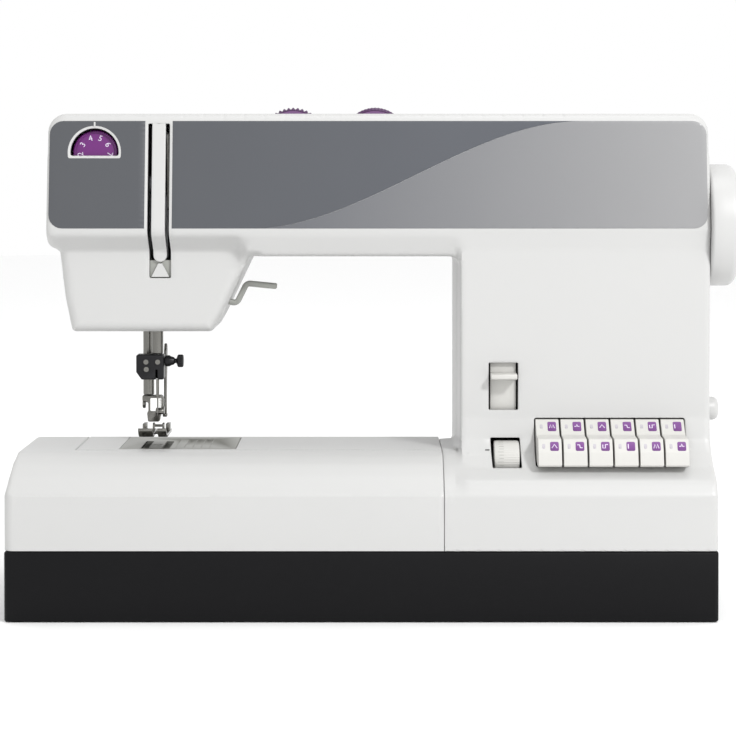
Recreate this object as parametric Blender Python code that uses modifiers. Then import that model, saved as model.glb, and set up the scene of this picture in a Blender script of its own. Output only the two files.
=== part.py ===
"""Domestic free-arm sewing machine, as separate pieces with their joint axes at rest.

Row frame: +X right, +Y away from the sewer, +Z up, origin on the table under the middle of the machine.
The numbers below are millimetres; the helpers scale them to Blender's metres.
"""
import math

import bmesh
import bpy
from mathutils import Matrix, Vector

MM = 0.001
GAP = 0.3            # clearance between neighbouring pieces
WALL = 3.0           # plastic housing wall
PAN_WALL = 4.0       # wall of the base pan

# Overall envelope
HALF_DEPTH = 89.0
TRAY_LEFT, WHEEL_RIGHT = -214.8, 214.8
BASE_LEFT, BASE_RIGHT, SIDE_RIGHT = -214.6, 196.0, 195.5
FOOT_HEIGHT, BASE_TOP, CREASE, BED_TOP = 0.4, 40.8, 73.0, 95.0
HOUSING_BOTTOM = BASE_TOP + GAP
HEAD_LEFT, ARM_UNDERSIDE, ARM_TOP, HEAD_BOTTOM = -194.5, 209.0, 293.2, 164.0
COLUMN_LEFT, COLUMN_FRONT, HOUSING_BACK = 48.6, -56.0, 68.0
COLUMN_BASE_LEFT, BED_CREST = 38.4, -56.0
SPLIT = 5.0          # plane between the front and rear covers

# Sloping face panel
PANEL_LOW, PANEL_HIGH, PANEL_LOW_Y, PANEL_HIGH_Y = 225.4, 288.6, -57.3, -48.3
PANEL_LEFT, PANEL_RIGHT, PANEL_THICK, PANEL_CORNER = -192.8, 193.7, 1.2, 8.0
SLOT_LEFT, SLOT_RIGHT, SLOT_BOTTOM = -134.9, -122.2, 196.0
STRIP_LEFT, STRIP_RIGHT = -132.6, -124.6

# Free arm, needle and presser
ARM_END, FREE_FRONT, FREE_BACK, FREE_BOTTOM = -177.5, -52.0, 14.0, 52.0
PLATE_LEFT, PLATE_RIGHT, PLATE_FRONT, PLATE_BACK, PLATE_THICK = -152.5, -84.0, -49.0, 11.0, 2.0
NEEDLE_X, NEEDLE_Y, BAR_RADIUS = -131.8, -28.0, 3.45
PRESSER_X, PRESSER_Y, PRESSER_RADIUS = -138.5, -14.0, 3.3
FOOT_BOTTOM, CRANK_RADIUS, LINK_LENGTH = 100.8, 15.0, 33.1

# Shafts: each axis is parallel to X, given as (y, z)
MAIN_AXIS, MAIN_RADIUS = (-28.0, 227.1), 5.0
LOWER_AXIS, LOWER_RADIUS = (-10.0, 70.5), 4.0
HOOK_AXIS, HOOK_RADIUS = (-28.0, 70.5), 15.0
MOTOR_AXIS, MOTOR_RADIUS, ROTOR_RADIUS = (38.0, 120.0), 24.0, 3.0
GEAR_TEETH, PINION_TEETH, GEAR_RADIUS, PINION_RADIUS = 32, 16, 12.0, 6.0
PULLEY_RADIUS, DRIVE_WHEEL_RADIUS, MOTOR_PULLEY_RADIUS, BELT_THICK = 12.0, 20.0, 7.0, 1.5
TIMING_LEFT, TIMING_RIGHT, DRIVE_LEFT, DRIVE_RIGHT = 95.0, 103.0, 169.0, 177.0
WHEEL_RADIUS = 36.35

# Controls
DIAL_RADIUS, WIDTH_DIAL_X, LENGTH_DIAL_X, DIAL_Y, DIAL_WIDTH = 20.0, -50.9, -1.2, -6.0, 12.0
TENSION_X, TENSION_Y, TENSION_Z, TENSION_RADIUS, TENSION_FLAT = -166.4, -46.5, 270.2, 14.2, 268.3
REVERSE_LEFT, REVERSE_RIGHT, REVERSE_LOW, REVERSE_HIGH = 65.4, 82.7, 118.9, 146.7
THUMB_LEFT, THUMB_RIGHT, THUMB_LOW, THUMB_HIGH = 66.2, 83.5, 86.7, 102.9
THUMB_AXIS, THUMB_RADIUS = (-56.2, 89.8), 11.2
KEY_COUNT, KEY_LEFT, KEY_PITCH, KEY_WIDTH = 6, 92.8, 14.7, 13.6
KEY_AXIS = (-58.0, 98.0)
LIFTER_X, LIFTER_Y, LIFTER_Z = -113.0, -19.0, 184.0

for old in list(bpy.data.objects):
    bpy.data.objects.remove(old)
PARTS = bpy.data.collections.new("sewing_machine")
CUTTERS = bpy.data.collections.new("cutters")
for group in (PARTS, CUTTERS):
    bpy.context.scene.collection.children.link(group)

# Colour, roughness and metallic value of each finish
FINISHES = {
    "white_plastic": ((0.80, 0.80, 0.79), 0.38, 0.0),
    "black_plastic": ((0.012, 0.012, 0.014), 0.50, 0.0),
    "grey_panel": ((0.15, 0.155, 0.165), 0.35, 0.0),
    "purple_plastic": ((0.16, 0.012, 0.19), 0.35, 0.0),
    "key_plastic": ((0.70, 0.70, 0.67), 0.42, 0.0),
    "grey_plastic": ((0.28, 0.285, 0.27), 0.40, 0.0),
    "steel": ((0.55, 0.55, 0.55), 0.28, 1.0),
    "dark_steel": ((0.03, 0.03, 0.032), 0.35, 0.8),
    "cast_metal": ((0.42, 0.43, 0.44), 0.55, 0.9),
    "brass": ((0.55, 0.40, 0.16), 0.35, 1.0),
    "rubber": ((0.02, 0.02, 0.02), 0.80, 0.0),
    "glass": ((0.90, 0.88, 0.80), 0.08, 0.0),
}


def finish(obj, name):
    """Give an object its own Principled material."""
    colour, roughness, metallic = FINISHES[name]
    material = bpy.data.materials.new(obj.name + "_" + name)
    material.use_nodes = True
    shader = material.node_tree.nodes["Principled BSDF"]
    shader.inputs["Base Color"].default_value = (*colour, 1.0)
    shader.inputs["Roughness"].default_value = roughness
    shader.inputs["Metallic"].default_value = metallic
    obj.data.materials.clear()
    obj.data.materials.append(material)
    return obj


def place(name, mesh, origin):
    """Wrap a mesh whose points are in the row frame, in metres, as an object with that origin."""
    mesh.transform(Matrix.Translation(-Vector(origin) * MM))
    obj = bpy.data.objects.new(name, mesh)
    obj.location = Vector(origin) * MM
    PARTS.objects.link(obj)
    return obj


def from_bmesh(name, shape, origin):
    mesh = bpy.data.meshes.new(name)
    shape.to_mesh(mesh)
    shape.free()
    mesh.transform(Matrix.Scale(MM, 4))
    return place(name, mesh, origin)


def smooth(obj, degrees=35):
    obj.data.shade_smooth()
    obj.data.set_sharp_from_angle(angle=math.radians(degrees))
    return obj


def bevel(obj, width, segments=2, degrees=40):
    rounding = obj.modifiers.new("rounding", "BEVEL")
    rounding.width = width * MM
    rounding.segments = segments
    rounding.limit_method = "ANGLE"
    rounding.angle_limit = math.radians(degrees)
    return smooth(obj)


def box(name, low, high, origin=None):
    """A block between two corners."""
    low, high = Vector(low), Vector(high)
    shape = bmesh.new()
    bmesh.ops.create_cube(shape, size=1.0)
    bmesh.ops.scale(shape, vec=high - low, verts=shape.verts)
    bmesh.ops.translate(shape, vec=(low + high) / 2, verts=shape.verts)
    return from_bmesh(name, shape, origin or (low + high) / 2)


def rod(name, start, end, radius, sides=24, end_radius=None, origin=None):
    """A round bar, or a cone, between two points."""
    start, end = Vector(start), Vector(end)
    run = end - start
    shape = bmesh.new()
    tip = radius if end_radius is None else end_radius
    bmesh.ops.create_cone(shape, cap_ends=True, segments=sides, radius1=radius, radius2=tip, depth=run.length)
    turn = Vector((0, 0, 1)).rotation_difference(run).to_matrix().to_4x4()
    bmesh.ops.transform(shape, matrix=Matrix.Translation((start + end) / 2) @ turn, verts=shape.verts)
    return smooth(from_bmesh(name, shape, origin or start))


AXES = {
    "X": Matrix(((0, 0, 1, 0), (1, 0, 0, 0), (0, 1, 0, 0), (0, 0, 0, 1))),
    "Y": Matrix(((1, 0, 0, 0), (0, 0, -1, 0), (0, 1, 0, 0), (0, 0, 0, 1))),
    "Z": Matrix.Identity(4),
}


def plate(name, outline, axis, low, high, holes=(), origin=None):
    """A flat outline extruded along an axis. Outlines are (y, z), (x, z) or (x, y) points."""
    curve = bpy.data.curves.new(name, "CURVE")
    curve.dimensions = "2D"
    curve.fill_mode = "BOTH"
    curve.extrude = (high - low) / 2 * MM
    for loop in (outline, *holes):
        spline = curve.splines.new("POLY")
        spline.points.add(len(loop) - 1)
        for point, (across, up) in zip(spline.points, loop):
            point.co = (across * MM, up * MM, 0, 1)
        spline.use_cyclic_u = True
    drawn = bpy.data.objects.new(name + "_outline", curve)
    PARTS.objects.link(drawn)
    bpy.context.view_layer.update()
    mesh = bpy.data.meshes.new_from_object(drawn.evaluated_get(bpy.context.evaluated_depsgraph_get()))
    bpy.data.objects.remove(drawn)
    shape = bmesh.new()
    shape.from_mesh(mesh)
    bmesh.ops.remove_doubles(shape, verts=shape.verts, dist=1e-6)
    middle = (low + high) / 2 * MM * (-1 if axis == "Y" else 1)
    bmesh.ops.transform(shape, matrix=AXES[axis] @ Matrix.Translation((0, 0, middle)), verts=shape.verts)
    bmesh.ops.recalc_face_normals(shape, faces=shape.faces)
    shape.to_mesh(mesh)
    shape.free()
    centre = sum((v.co for v in mesh.vertices), Vector()) / len(mesh.vertices) / MM
    return place(name, mesh, origin or centre)


def turned(name, profile, centre, axis="X", steps=32):
    """A profile of (radius, distance along the axis) points, top to bottom, screwed about the axis."""
    mesh = bpy.data.meshes.new(name)
    closed = profile[0][0] > 0
    count = len(profile)
    edges = [(i, i + 1) for i in range(count - 1)] + ([(count - 1, 0)] if closed else [])
    mesh.from_pydata([(r * MM, 0, h * MM) for r, h in profile], edges, [])
    obj = bpy.data.objects.new(name, mesh)
    PARTS.objects.link(obj)
    obj.location = Vector(centre) * MM
    obj.rotation_euler = {"X": (0, math.pi / 2, 0), "Y": (-math.pi / 2, 0, 0), "Z": (0, 0, 0)}[axis]
    screw = obj.modifiers.new("turn", "SCREW")
    screw.steps = steps
    screw.render_steps = steps
    screw.use_merge_vertices = True
    screw.merge_threshold = 0.00002
    screw.use_smooth_shade = True
    return obj


def boolean(obj, operation, *tools):
    for tool in tools:
        PARTS.objects.unlink(tool)
        CUTTERS.objects.link(tool)
        tool.hide_render = True
        tool.display_type = "WIRE"
        change = obj.modifiers.new(operation.lower(), "BOOLEAN")
        change.operation = operation
        change.solver = "EXACT"
        change.object = tool
    return obj


def cut(obj, *tools):
    return boolean(obj, "DIFFERENCE", *tools)


def join(obj, *tools):
    return boolean(obj, "UNION", *tools)


def keep_common(obj, *tools):
    return boolean(obj, "INTERSECT", *tools)


def rounded(points, radii, steps=4):
    """Replace each corner that has a radius by an arc."""
    result = []
    count = len(points)
    for i, (corner, radius) in enumerate(zip(points, radii)):
        here = Vector(corner)
        before = (Vector(points[i - 1]) - here).normalized()
        after = (Vector(points[(i + 1) % count]) - here).normalized()
        half = before.angle(after) / 2
        if radius <= 0 or half > math.radians(88):
            result.append(tuple(corner))
            continue
        centre = here + (before + after).normalized() * radius / math.sin(half)
        first = here + before * radius / math.tan(half) - centre
        last = here + after * radius / math.tan(half) - centre
        for step in range(steps + 1):
            spoke = first.slerp(last, step / steps).normalized() * radius
            result.append(tuple(centre + spoke))
    return result


def inset(points, wall):
    """The outline moved inwards by a wall; the points run anticlockwise."""
    result = []
    count = len(points)
    for i in range(count):
        here = Vector(points[i])
        before = (here - Vector(points[i - 1])).normalized()
        after = (Vector(points[(i + 1) % count]) - here).normalized()
        inward = Vector((-before.y - after.y, before.x + after.x)).normalized()
        share = max(0.3, inward.dot(Vector((-before.y, before.x))))
        result.append(tuple(here + inward * wall / share))
    return result


def rectangle(left, low, right, high):
    return [(left, low), (right, low), (right, high), (left, high)]


def circle(across, up, radius, sides=24):
    turn = [2 * math.pi * i / sides for i in range(sides)]
    return [(across + radius * math.cos(a), up + radius * math.sin(a)) for a in turn]


def around(first, first_radius, last, last_radius, steps=10):
    """The tight loop around two circles, as a belt or a link follows."""
    a, b = Vector(first), Vector(last)
    run = b - a
    heading = math.atan2(run.y, run.x)
    lean = math.acos((first_radius - last_radius) / run.length)
    points = []
    for centre, radius, start, end in ((b, last_radius, -lean, lean),
                                       (a, first_radius, lean, 2 * math.pi - lean)):
        for step in range(steps + 1):
            angle = heading + start + (end - start) * step / steps
            points.append((centre.x + radius * math.cos(angle), centre.y + radius * math.sin(angle)))
    return points


def gear_outline(centre, radius, teeth, turn=0.0):
    """Trapezoid teeth with running clearance; a tooth points along +across when turn is 0."""
    pitch = 2 * math.pi / teeth
    points = []
    for i in range(teeth):
        for reach, share in ((-0.95, -0.28), (0.6, -0.12), (0.6, 0.12), (-0.95, 0.28)):
            angle = turn + (i + share) * pitch
            distance = radius + reach
            points.append((centre[0] + distance * math.cos(angle), centre[1] + distance * math.sin(angle)))
    return points


# Outline of arm, head and column seen from the front, anticlockwise, with its corner radii
BODY_OUTLINE = [
    (-188.6, 212.0), (-185.4, 185.0), (-181.2, HEAD_BOTTOM), (-98.0, HEAD_BOTTOM), (-93.5, 171.8),
    (-89.8, 179.2), (-75.5, ARM_UNDERSIDE), (COLUMN_LEFT, ARM_UNDERSIDE), (COLUMN_LEFT, HOUSING_BOTTOM),
    (SIDE_RIGHT, HOUSING_BOTTOM), (SIDE_RIGHT, ARM_TOP), (HEAD_LEFT, ARM_TOP), (HEAD_LEFT, 214.0),
]
BODY_RADII = [0, 0, 3, 3, 0, 0, 3, 6, 0, 0, 9, 9, 3]
# Column base seen from the side, as (y, z): the concave slope that carries the keys
BASE_SLOPE = [(-89.0, CREASE), (-84.5, 80.5), (-72.5, 87.0), (-63.0, 94.0), (-59.0, 101.5), (-56.0, 114.0)]


def housing_blank(name, front, back):
    """Arm, head and column as one block, still without its lean."""
    return plate(name, rounded(BODY_OUTLINE, BODY_RADII), "Y", front, back)


def housing_cavity(name, front, back):
    """Space inside the housing: the outline less the wall, with a leaning front."""
    space = plate(name, inset(BODY_OUTLINE, WALL), "Y", front, back)
    side = [
        (back + 9, 120.0), (-42.0, 120.0), (-42.0, 213.0), (-52.5, 224.0), (-45.2, 289.0),
        (-45.2, 320.0), (back + 9, 320.0),
    ]
    keep_common(space, plate(name + "_side", side, "X", HEAD_LEFT - 10, SIDE_RIGHT + 10))
    return space


def front_cover():
    cover = housing_blank("front_cover", -62.0, SPLIT - GAP / 2)
    column_base = plate(
        "column_base", [(SPLIT - GAP / 2, HOUSING_BOTTOM), (-89.0, HOUSING_BOTTOM), *BASE_SLOPE,
                        (SPLIT - GAP / 2, 114.0)], "X", COLUMN_BASE_LEFT, SIDE_RIGHT)
    lean = [
        (-95.0, 116.0), (COLUMN_FRONT, 116.0), (COLUMN_FRONT, 218.0), (PANEL_LOW_Y, PANEL_LOW),
        (PANEL_HIGH_Y, PANEL_HIGH), (PANEL_HIGH_Y + 1.5, 291.5), (PANEL_HIGH_Y + 6, 296.0), (-95.0, 296.0),
    ]
    low_lean = rectangle(-95.0, 30.0, COLUMN_FRONT, 116.1)
    under = [(-95.0, 150.0), (-45.0, 150.0), (-45.0, 212.0), (-57.5, 224.0), (-95.0, 224.0)]
    cut(cover, plate("front_lean", lean, "X", HEAD_LEFT - 9, SIDE_RIGHT + 9))
    cut(cover, plate("front_low", low_lean, "X", HEAD_LEFT - 9, SIDE_RIGHT + 9))
    cut(cover, plate("arm_under", under, "X", HEAD_LEFT - 9, COLUMN_LEFT))
    join(cover, column_base)
    cut(cover, box("foot_step", (20.0, -100.0, BED_TOP), (COLUMN_LEFT, 20.0, 130.0)))
    cut(cover, housing_cavity("front_space", -60.0, SPLIT + 1))
    cut(cover, box("column_space", (51.6, -53.0, 110.0), (192.5, SPLIT + 1, 224.0)))
    base_space = [(SPLIT + 1, 30.0), (-86.0, 30.0), (-86.0, 71.5), (-82.5, 77.5), (-71.5, 83.5),
                  (-60.5, 91.5), (-53.0, 112.0), (-53.0, 125.0), (SPLIT + 1, 125.0)]
    inside = plate("base_space", base_space, "X", 51.6, SIDE_RIGHT - WALL)
    cut(cover, inside)
    cut(cover, box("foot_space", (COLUMN_BASE_LEFT + WALL, -86.0, 30.0), (53.0, SPLIT + 1, 70.0)))
    cut(cover, box("shaft_way", (COLUMN_BASE_LEFT - 5, -30.0, 56.0), (56.0, SPLIT + 1, 90.0)))
    cut(cover, box("head_mouth", (-175.5, -41.5, 150.0), (-107.0, SPLIT + 1, 172.0)))
    cut(cover, box("lifter_way", (-122.0, LIFTER_Y - 5, 150.0), (-70.0, LIFTER_Y + 5, 194.0)))
    cut(cover, box("thread_slot", (SLOT_LEFT, -70.0, SLOT_BOTTOM), (SLOT_RIGHT, -38.0, 287.0)))
    for across in (WIDTH_DIAL_X, LENGTH_DIAL_X):
        low = (across - DIAL_RADIUS - 0.8, DIAL_Y - DIAL_WIDTH / 2 - 0.8, 275.0)
        high = (across + DIAL_RADIUS + 0.8, DIAL_Y + DIAL_WIDTH / 2 + 0.8, 300.0)
        cut(cover, box("dial_slot", low, high))
    cut(cover, plate("tension_window", tension_window(0.0), "Y", -75.0, -35.0))
    pocket = plate("tension_pocket", circle(0.0, 0.0, TENSION_RADIUS + 0.3, 36), "Y", -2.1, 14.0,
                   origin=(0, 0, 0))
    cut(cover, lean_back(pocket, TENSION_X, TENSION_Y, TENSION_Z))
    cut(cover,
        box("reverse_window", (REVERSE_LEFT, -70.0, REVERSE_LOW), (REVERSE_RIGHT, -45.0, REVERSE_HIGH)))
    cut(cover, box("thumb_window", (THUMB_LEFT, -80.0, THUMB_LOW), (THUMB_RIGHT, -30.0, THUMB_HIGH)))
    cut(cover, box("thumb_room", (THUMB_LEFT - 1.0, -56.0, 80.0), (THUMB_RIGHT + 1.0, -38.0, 106.0)))
    key_right = KEY_LEFT + (KEY_COUNT - 1) * KEY_PITCH + KEY_WIDTH
    cut(cover, box("key_window", (KEY_LEFT - 1.0, -95.0, 85.5), (key_right + 1.0, -44.0, 115.6)))
    cut(cover, rod("hub_hole", (185.0, *MAIN_AXIS), (200.0, *MAIN_AXIS), 11.0))
    cut(cover, rod("button_hole", (185.0, -28.0, 117.0), (200.0, -28.0, 117.0), 7.6))
    return finish(smooth(cover), "white_plastic")


def tension_window(margin):
    """The D-shaped opening over the tension dial, flat side down."""
    low = TENSION_FLAT - margin
    radius = TENSION_RADIUS + margin
    start = math.asin((low - TENSION_Z) / radius)
    sweep = [start + (math.pi - 2 * start) * i / 20 for i in range(21)]
    return [(TENSION_X + radius * math.cos(a), TENSION_Z + radius * math.sin(a)) for a in sweep]


def rear_cover():
    cover = housing_blank("rear_cover", SPLIT + GAP / 2, HOUSING_BACK)
    join(cover,
         box("rear_foot", (COLUMN_BASE_LEFT, SPLIT + GAP / 2, HOUSING_BOTTOM), (55.0, HOUSING_BACK, BED_TOP)))
    cut(cover, box("head_back", (-200.0, 32.0, 150.0), (COLUMN_LEFT, 80.0, ARM_UNDERSIDE)))
    space = plate("rear_space", inset(BODY_OUTLINE, WALL), "Y", SPLIT - 1, HOUSING_BACK - WALL)
    cut(space, box("head_floor", (-200.0, 29.0, 140.0), (COLUMN_LEFT, 80.0, ARM_UNDERSIDE + WALL)))
    cut(cover, space)
    cut(cover, box("rear_mouth", (-175.5, SPLIT - 1, 150.0), (-108.0, 28.0, 172.0)))
    cut(cover, box("column_mouth", (51.6, SPLIT - 1, 30.0), (192.5, HOUSING_BACK - WALL, 60.0)))
    cut(cover, box("frame_way", (COLUMN_BASE_LEFT - 5, SPLIT - 1, 56.0), (56.0, 12.5, 90.0)))
    cut(cover, box("socket_hole", (185.0, 25.0, 49.0), (200.0, 51.0, 69.0)))
    return finish(smooth(cover), "white_plastic")


def base_pan():
    corners = rounded(rectangle(BASE_LEFT, -HALF_DEPTH, BASE_RIGHT, HALF_DEPTH), [3] * 4)
    pan = plate("base_pan", corners, "Z", FOOT_HEIGHT, BASE_TOP)
    low = (BASE_LEFT + PAN_WALL, PAN_WALL - HALF_DEPTH, 0.0)
    high = (BASE_RIGHT - PAN_WALL, HALF_DEPTH - PAN_WALL, BASE_TOP - WALL)
    cut(pan, box("pan_space", low, high))
    return finish(smooth(pan), "black_plastic")


def feet():
    for number, (across, along) in enumerate(((-195, -72), (177, -72), (-195, 72), (177, 72)), 1):
        foot = rod(f"foot_{number}", (across, along, 0.0), (across, along, BASE_TOP - WALL - GAP), 9.0, 20)
        finish(foot, "rubber")


def panel(name, left, right, radii):
    """One half of the sloping face panel, standing just proud of the housing."""
    length = math.hypot(PANEL_HIGH - PANEL_LOW, PANEL_HIGH_Y - PANEL_LOW_Y)
    outline = rounded(rectangle(left, 0.0, right, length), radii)
    face = plate(name, outline, "Y", -PANEL_THICK, 0.0, origin=(0, 0, 0))
    lean_back(face, 0.0, PANEL_LOW_Y - GAP, PANEL_LOW)
    return finish(face, "grey_panel")


def lean_back(obj, across, along, up):
    """Turn a piece drawn upright at the row's origin to the panel's lean, and move it into place."""
    turn = math.atan2(PANEL_HIGH_Y - PANEL_LOW_Y, PANEL_HIGH - PANEL_LOW)
    obj.data.transform(Matrix.Rotation(-turn, 4, "X"))
    obj.location = Vector((across, along, up)) * MM
    return obj


def face_panels():
    left = panel("face_panel_left", PANEL_LEFT, SLOT_LEFT - 1.7, [PANEL_CORNER, 0, 0, PANEL_CORNER])
    cut(left, plate("panel_window", tension_window(1.2), "Y", -75.0, -35.0))
    panel("face_panel_right", SLOT_RIGHT + 1.7, PANEL_RIGHT, [0, PANEL_CORNER, PANEL_CORNER, 0])


def thread_guide():
    side = [(-44.7, 205.5), (-44.7, 212.0), (-57.0, 224.5), (-48.2, 286.5), (-45.5, 286.5), (-54.0, 225.0),
            (-42.3, 213.0), (-42.3, 205.5)]
    return finish(plate("thread_guide", side, "X", STRIP_LEFT, STRIP_RIGHT), "white_plastic")


def free_arm():
    arm = box("free_arm", (ARM_END, FREE_FRONT, FREE_BOTTOM), (COLUMN_BASE_LEFT - GAP, FREE_BACK, BED_TOP))
    cut(arm, box("arm_space", (ARM_END - 5, FREE_FRONT + WALL, FREE_BOTTOM + WALL),
                 (COLUMN_BASE_LEFT + 5, FREE_BACK - WALL, BED_TOP - WALL)))
    cut(arm, box("plate_opening", (PLATE_LEFT - GAP, PLATE_FRONT - GAP, BED_TOP - PLATE_THICK - GAP),
                 (PLATE_RIGHT + GAP, PLATE_BACK + GAP, BED_TOP + 5)))
    cut(arm,
        box("dog_opening", (PLATE_LEFT + 6, PLATE_FRONT + 2.5, 88.0),
            (PLATE_RIGHT - 6, PLATE_BACK - 5, 99.0)))
    return finish(bevel(arm, 1.0, 2), "white_plastic")


def needle_plate():
    top = box("needle_plate", (PLATE_LEFT, PLATE_FRONT, BED_TOP - PLATE_THICK),
              (PLATE_RIGHT, PLATE_BACK, BED_TOP))
    for across in (-6.2, 6.2):
        middle = NEEDLE_X + across
        cut(top, box("dog_slot", (middle - 2.4, -46.0, 90.0), (middle + 2.4, -10.0, 99.0)))
    cut(top,
        box("needle_hole", (NEEDLE_X - 3.2, NEEDLE_Y - 1.2, 90.0), (NEEDLE_X + 3.2, NEEDLE_Y + 1.2, 99.0)))
    return finish(top, "steel")


def frame_casting():
    """The C-shaped casting that holds every shaft, standing behind the shafts."""
    web = box("frame_casting", (-120.0, 4.5, 214.0), (186.0, 10.5, 250.0))
    post = box("post", (112.0, 4.5, 60.0), (150.0, 10.5, 230.0))
    bed = box("bed_bar", (-150.0, 4.5, 60.0), (130.0, 10.5, 84.0))
    bosses = [
        box("left_boss", (-104.0, -38.0, 217.0), (-90.0, 6.0, 237.0)),
        box("right_boss", (150.0, -38.0, 217.0), (164.0, 6.0, 237.0)),
        box("hook_boss", (-130.0, -36.0, 63.0), (-118.0, 6.0, 80.0)),
        box("lower_boss", (60.0, -18.0, 62.0), (72.0, 6.0, 80.0)),
        box("motor_boss", (160.0, 6.0, 108.0), (166.0, 50.0, 132.0)),
        box("motor_arm", (145.0, 5.5, 108.0), (166.0, 10.5, 132.0)),
        box("presser_lug", (-143.5, -18.7, 217.0), (-130.0, 6.0, 223.0)),
        box("presser_arm", (-143.5, 0.0, 217.0), (-115.0, 8.0, 223.0)),
    ]
    join(web, post, bed, *bosses)
    for left in (-110.0, 145.0):
        cut(web, rod("bush_bore", (left, *MAIN_AXIS), (left + 22, *MAIN_AXIS), 8.0 + GAP))
    cut(web, rod("hook_bore", (-135.0, *HOOK_AXIS), (-112.0, *HOOK_AXIS), 3.0 + GAP))
    cut(web, rod("lower_bore", (55.0, *LOWER_AXIS), (76.0, *LOWER_AXIS), LOWER_RADIUS + GAP))
    cut(web, rod("rotor_bore", (157.0, *MOTOR_AXIS), (168.0, *MOTOR_AXIS), ROTOR_RADIUS + GAP))
    cut(web,
        rod("presser_bore", (PRESSER_X, PRESSER_Y, 210), (PRESSER_X, PRESSER_Y, 230), PRESSER_RADIUS + GAP))
    return finish(web, "cast_metal")


def bushes():
    for side, left in (("left", -104.5), ("right", 149.5)):
        ring = [(8.0, 15.0), (8.0, 0.0), (MAIN_RADIUS + GAP, 0.0), (MAIN_RADIUS + GAP, 15.0)]
        finish(turned(f"main_shaft_bush_{side}", ring, (left, *MAIN_AXIS), steps=24), "brass")


def main_shaft_group():
    finish(rod("main_shaft", (-112.0, *MAIN_AXIS), (167.5, *MAIN_AXIS), MAIN_RADIUS), "steel")
    y, z = MAIN_AXIS
    web = around((y, z), 10.0, (y, z + CRANK_RADIUS), 4.5)
    crank = plate("needle_crank", web, "X", -119.5, -112.3, origin=(-116.0, y, z))
    join(crank, rod("crank_pin", (-121.6, y, z + CRANK_RADIUS), (-118.0, y, z + CRANK_RADIUS), 2.5, 16))
    finish(crank, "cast_metal")
    hub, rim = 9.0, WHEEL_RADIUS
    wheel = [
        (0, 47.0), (rim - 12, 47.0), (rim - 5, 45.6), (rim - 1.4, 42.0), (rim, 37.0), (rim, 30.0),
        (rim - 2, 28.4), (hub, 28.4), (hub, 9.0), (DRIVE_WHEEL_RADIUS, 9.0),
        (DRIVE_WHEEL_RADIUS, 1.0), (0, 1.0),
    ]
    finish(turned("handwheel", wheel, (WHEEL_RIGHT - 47.0, y, z), steps=40), "white_plastic")
    belt_ring("upper_pulley", MAIN_AXIS, MAIN_RADIUS)


def belt_ring(name, axis, shaft_radius):
    """A toothed-belt pulley on its shaft."""
    ring = plate(name, circle(*axis, PULLEY_RADIUS), "X", TIMING_LEFT, TIMING_RIGHT,
                 holes=[circle(*axis, shaft_radius + GAP)], origin=(99.0, *axis))
    return finish(ring, "black_plastic")


def belt(name, first, first_radius, last, last_radius, left, right):
    """A belt around two pulleys, with the usual clearance to both."""
    clear = 2 * GAP
    outside = around(first, first_radius + clear + BELT_THICK, last, last_radius + clear + BELT_THICK)
    inside = around(first, first_radius + clear, last, last_radius + clear)
    return finish(plate(name, outside, "X", left, right, holes=[inside]), "rubber")


def drive():
    belt("timing_belt", MAIN_AXIS, PULLEY_RADIUS, LOWER_AXIS, PULLEY_RADIUS, TIMING_LEFT + 0.5,
         TIMING_RIGHT - 0.5)
    belt("motor_belt", MOTOR_AXIS, MOTOR_PULLEY_RADIUS, MAIN_AXIS, DRIVE_WHEEL_RADIUS, DRIVE_LEFT + 0.5,
         DRIVE_RIGHT - 0.8)
    finish(rod("lower_shaft", (-113.0, *LOWER_AXIS), (108.0, *LOWER_AXIS), LOWER_RADIUS), "steel")
    belt_ring("lower_pulley", LOWER_AXIS, LOWER_RADIUS)
    gear = plate("hook_gear", gear_outline(LOWER_AXIS, GEAR_RADIUS, GEAR_TEETH), "X", -112.0, -104.0,
                 holes=[circle(*LOWER_AXIS, LOWER_RADIUS + GAP)], origin=(-108.0, *LOWER_AXIS))
    finish(gear, "brass")
    case = rod("motor_case", (88.0, *MOTOR_AXIS), (144.0, *MOTOR_AXIS), MOTOR_RADIUS, 28)
    cut(case, rod("case_bore", (90.0, *MOTOR_AXIS), (150.0, *MOTOR_AXIS), ROTOR_RADIUS + 1.0, 20))
    finish(case, "dark_steel")
    armature = [
        (0, 85.0), (MOTOR_PULLEY_RADIUS, 85.0), (MOTOR_PULLEY_RADIUS, 77.0), (ROTOR_RADIUS, 77.0),
        (ROTOR_RADIUS, 4.0), (0, 4.0),
    ]
    finish(turned("motor_rotor", armature, (92.0, *MOTOR_AXIS), steps=24), "steel")


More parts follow.
